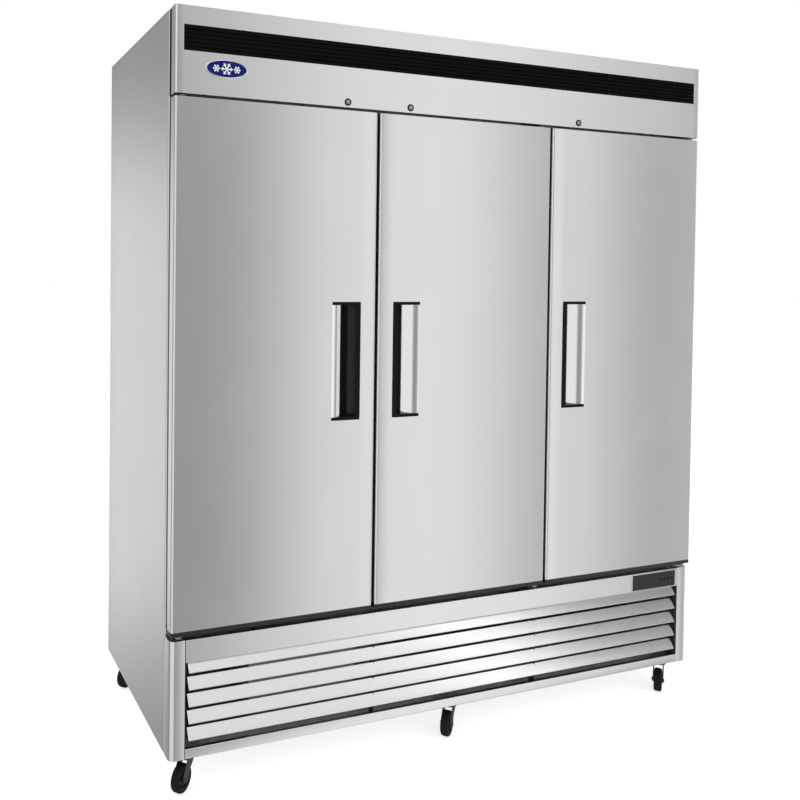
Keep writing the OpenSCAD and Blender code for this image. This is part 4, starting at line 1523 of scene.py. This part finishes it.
class FRIDGE_OT_casters(FridgeStep):
    """Top plates with bolts, swivel forks with axles, and rubber-tyred wheels"""

    bl_idname = "fridge.casters"
    bl_label = "Casters"

    def execute(self, context):
        plates = Shape()
        for row in ("front", "rear"):
            for side in SIDES:
                name = f"{row}_{side}"
                swivel = Vector(JOINTS[f"{name}_swivel"]["pos_m"])
                axle = Vector(JOINTS[f"{name}_wheel_spin"]["pos_m"])
                reach = Vector((axle.x - swivel.x, axle.y - swivel.y))
                base = at(swivel.x, swivel.y, 0)
                yaw = base @ Matrix.Rotation(math.atan2(reach.y, reach.x), 4, "Z")
                self.plate(plates, base)
                self.fork(name, yaw, reach.length, axle.z)
                self.wheel(name, yaw @ at(reach.length, 0, axle.z) @ FACING_FRONT, axle.z)
        plates.finish("caster_tops", "cabinet", "zinc_steel", ["plated_steel"], ["caster_plates"], 0.5 * MM)
        return {"FINISHED"}

    def plate(self, shape, base):
        sizes = self.casters
        top = cad_box[0].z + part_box("caster_plates")[1].z
        half_x = sizes.plate_x / 2
        half_y = sizes.plate_y / 2
        outline = bent(rectangle((-half_x, -half_y), (half_x, half_y)), 7 * MM, closed=True)
        shape.plate(outline, top - sizes.plate, top, base)
        dish = [(0, -9), (19, -9), (24, -7.6), (26, -5.2), (26, -2.9), (0, -2.9)]
        shape.turned(in_mm(*dish), base @ at(0, 0, top), steps=40)
        pin = [(0, -26), (7, -26), (8, -25), (8, -23.2), (5, -22.8), (5, -8.5), (0, -8.5)]
        shape.turned(in_mm(*pin), base @ at(0, 0, top), steps=24)
        for x in (-36, 36):
            for y in (-23, 23):
                spot = base @ at(x * MM, y * MM, top - sizes.plate)
                shape.rod((0, 0, 0), (0, 0, -4 * MM), 6 * MM, 6, spot)
                shape.turned(in_mm((0, 0), (7, 0), (7, -1), (0, -1)), spot, steps=20)

    def fork(self, name, yaw, trail, axle_z):
        """Crown, two pressed legs and the axle with its nuts."""
        sizes = self.casters
        crown = 84 * MM
        inner = sizes.wheel / 2 + 1.5 * MM
        shape = Shape()
        cup = [(5.2, 3), (5.2, 11.6), (15, 11.6), (20, 9.5), (22, 6), (22, 0), (20.6, 0), (20.6, 3)]
        shape.turned(in_mm(*cup), yaw @ at(0, 0, crown), steps=40, closed=True)
        outer = inner + sizes.leg
        bridge = channel(-outer, outer, crown + 3 * MM, crown - 4 * MM)
        shape.folded(bent(bridge, 3 * MM), -20 * MM, 20 * MM, sizes.leg, matrix=yaw @ ALONG_X)
        leg = [
            (-20 * MM, crown + MM), (20 * MM, crown + MM), (trail + 11 * MM, axle_z + 12 * MM),
            (trail + 10 * MM, axle_z - 9 * MM), (trail - 10 * MM, axle_z - 9 * MM),
            (trail - 12 * MM, axle_z + 9 * MM),
        ]
        outline = bent(leg, [3 * MM, 3 * MM, 12 * MM, 8.8 * MM, 8.8 * MM, 12 * MM], closed=True)
        for side in (-1, 1):
            near = side * inner
            far = side * outer
            shape.plate(outline, min(near, far), max(near, far), yaw @ STANDING)
            rib = [(x * 0.55 + trail * 0.2, (z - 64 * MM) * 0.55 + 64 * MM) for x, z in outline]
            shape.plate(rib, min(far, far + side * MM), max(far, far + side * MM), yaw @ STANDING)
            hub = yaw @ at(trail, 0, axle_z)
            shape.rod((0, far, 0), (0, far + side * 3.2 * MM, 0), 6.8 * MM, 6, hub)
            shape.rod((0, far, 0), (0, far + side * 1.1 * MM, 0), 8.2 * MM, 24, hub)
        end = outer + 4 * MM
        shape.rod((trail, -end, axle_z), (trail, end, axle_z), 4 * MM, 20, yaw)
        node = f"{name}_fork"
        finishes = ["caster_steel"]
        shape.finish(node + "_pressed", f"{name}_caster", "caster_steel", finishes, [node], 0.5 * MM)

    def wheel(self, name, hub, r_metres):
        """Rounded tyre on a webbed hub."""
        r = r_metres / MM
        shape = Shape()
        tyre = both_ways([(r - 12, -12), (r - 4.6, -12), (r - 1.6, -10.6), (r - 0.2, -7.6), (r, -3)])
        shape.turned(in_mm(*tyre), hub, steps=56, closed=True)
        core = both_ways([
            (4.2, -13), (9, -13), (10.5, -11.5), (11, -7), (r - 15, -6), (r - 13.5, -10.5), (r - 11.8, -11),
        ])
        shape.turned(in_mm(*core), hub, 1, steps=40, closed=True)
        for spoke in range(6):
            turn = hub @ spun(60 * spoke)
            shape.block(mm(10, -1.1, -9.5), mm(r - 13, 1.1, 9.5), turn, 1)
        node = f"{name}_wheel"
        finishes = ["tyre_rubber", "black_plastic"]
        shape.finish(node + "_tyred", f"{name}_roller", "wheel_rubber", finishes, [node])


# ---------- Stage ----------


class FRIDGE_OT_stage(FridgeStep):
    """Pale floor, studio light and camera"""

    bl_idname = "fridge.stage"
    bl_label = "Stage"

    def execute(self, context):
        settings = context.scene.fridge_studio
        context.scene.view_settings.view_transform = "Standard"
        self.floor(context, settings)
        self.light(context, settings)
        self.camera(context, settings)
        return {"FINISHED"}

    def floor(self, context, settings):
        bm = bmesh.new()
        bmesh.ops.create_grid(bm, x_segments=4, y_segments=4, size=settings.floor_size / 2)
        mesh = bpy.data.meshes.new("floor")
        bm.to_mesh(mesh)
        bm.free()
        mesh.materials.append(finish_named("studio_floor"))
        floor = bpy.data.objects.new("floor", mesh)
        floor.visible_glossy = False
        context.scene.collection.objects.link(floor)

    def light(self, context, settings):
        """Softboxes drawn on the sky by direction; the camera itself sees plain white."""
        world = bpy.data.worlds.new("studio")
        context.scene.world = world
        graph = Graph(world)
        direction = graph.node("TexCoord").outputs["Generated"]
        split = graph.node("SeparateXYZ", None, {"Vector": direction})
        x, y, z = (Number(graph, socket) for socket in split.outputs)
        degrees = 180 / math.pi
        bearing = graph.math("ARCTAN2", x, -1 * y) * degrees
        back_bearing = graph.math("ARCTAN2", x, y) * degrees
        rise = graph.math("ARCSINE", z) * degrees
        past_high = graph.ramp(bearing, 40, 45)
        strength = (
            settings.ambient
            + settings.key * graph.band(bearing, 30, 36, 18) * graph.band(rise, -60, 18, 8)
            + settings.left * graph.band(bearing, -80, -12, 8) * graph.band(rise, -30, 40, 15)
            + settings.right * graph.band(bearing, 62, 100, 8) * graph.band(rise, -30, 40, 15)
            + settings.overhead * graph.ramp(rise, 55, 66)
            + settings.side * graph.band(back_bearing, -38, 12, 10) * graph.band(rise, -17, 3, 11)
            + settings.high * graph.band(rise, 26, 50, 5) * (1 - 1.23 * past_high)
            + settings.glint * graph.band(bearing, 38.4, 39.8, 0.8) * graph.band(rise, 24, 60, 4)
        )
        studio = graph.node("Background", None, {"Color": (1.0, 1.0, 1.0, 1.0), "Strength": strength})
        plain = graph.node("Background", None, {"Color": (1.0, 1.0, 1.0, 1.0), "Strength": 1.0})
        seen = graph.node("LightPath").outputs["Is Camera Ray"]
        both = graph.node("MixShader", None, {0: seen, 1: studio.outputs[0], 2: plain.outputs[0]})
        graph.node("OutputWorld", None, {"Surface": both.outputs[0]})

    def camera(self, context, settings):
        across = Vector((math.cos(settings.heading), -math.sin(settings.heading), 0))
        ahead = Vector((math.sin(settings.heading), math.cos(settings.heading), 0))
        up = Vector((0, 0, 1))
        look = ahead * math.cos(settings.pitch) + up * math.sin(settings.pitch)
        top = up * math.cos(settings.pitch) - ahead * math.sin(settings.pitch)
        right = across * math.cos(settings.roll) + top * math.sin(settings.roll)
        over = top * math.cos(settings.roll) - across * math.sin(settings.roll)
        turn = Matrix((right, over, -look)).transposed().to_4x4()
        camera = bpy.data.objects.new("camera", bpy.data.cameras.new("camera"))
        camera.data.sensor_width = 36.0
        camera.data.lens = settings.lens
        camera.data.shift_x = settings.shift_x
        camera.data.shift_y = settings.shift_y
        camera.matrix_world = Matrix.Translation(settings.camera_place) @ turn
        context.scene.collection.objects.link(camera)
        context.scene.camera = camera


# ---------- Panel and start ----------


STEPS = (
    FRIDGE_OT_stage,
    FRIDGE_OT_carcass,
    FRIDGE_OT_side_panels,
    FRIDGE_OT_back_panel,
    FRIDGE_OT_header,
    FRIDGE_OT_badge,
    FRIDGE_OT_locks,
    FRIDGE_OT_door_skins,
    FRIDGE_OT_door_caps,
    FRIDGE_OT_door_handles,
    FRIDGE_OT_door_insides,
    FRIDGE_OT_hinges,
    FRIDGE_OT_grille,
    FRIDGE_OT_corner_posts,
    FRIDGE_OT_control_window,
    FRIDGE_OT_liner,
    FRIDGE_OT_shelves,
    FRIDGE_OT_cold_air,
    FRIDGE_OT_fans,
    FRIDGE_OT_casters,
)
SETTINGS = {
    "fridge_cabinet": CabinetSizes,
    "fridge_doors": DoorSizes,
    "fridge_inside": InsideSizes,
    "fridge_casters": CasterSizes,
    "fridge_finishes": Finishes,
    "fridge_studio": StudioSettings,
}


class FRIDGE_PT_sidebar(bpy.types.Panel):
    """Lists the settings and the steps"""

    bl_label = "Refrigerator"
    bl_idname = "FRIDGE_PT_sidebar"
    bl_space_type = "VIEW_3D"
    bl_region_type = "UI"
    bl_category = "Refrigerator"

    def draw(self, context):
        for name, group in SETTINGS.items():
            box = self.layout.box()
            box.label(text=group.__name__)
            for field in group.__annotations__:
                box.prop(getattr(context.scene, name), field)
        for step in STEPS:
            self.layout.operator(step.bl_idname)


def register():
    for group in SETTINGS.values():
        bpy.utils.register_class(group)
    for name, group in SETTINGS.items():
        setattr(bpy.types.Scene, name, PointerProperty(type=group))
    for step in STEPS:
        bpy.utils.register_class(step)
    bpy.utils.register_class(FRIDGE_PT_sidebar)


def unregister():
    bpy.utils.unregister_class(FRIDGE_PT_sidebar)
    for step in reversed(STEPS):
        bpy.utils.unregister_class(step)
    for name in SETTINGS:
        delattr(bpy.types.Scene, name)
    for group in SETTINGS.values():
        bpy.utils.unregister_class(group)


def main():
    """Registers the settings, panel and steps, then builds every piece; the CAD box is measured on import."""
    register()
    for step in STEPS:
        family, name = step.bl_idname.split(".")
        getattr(getattr(bpy.ops, family), name)()


if __name__ == "__main__":
    main()
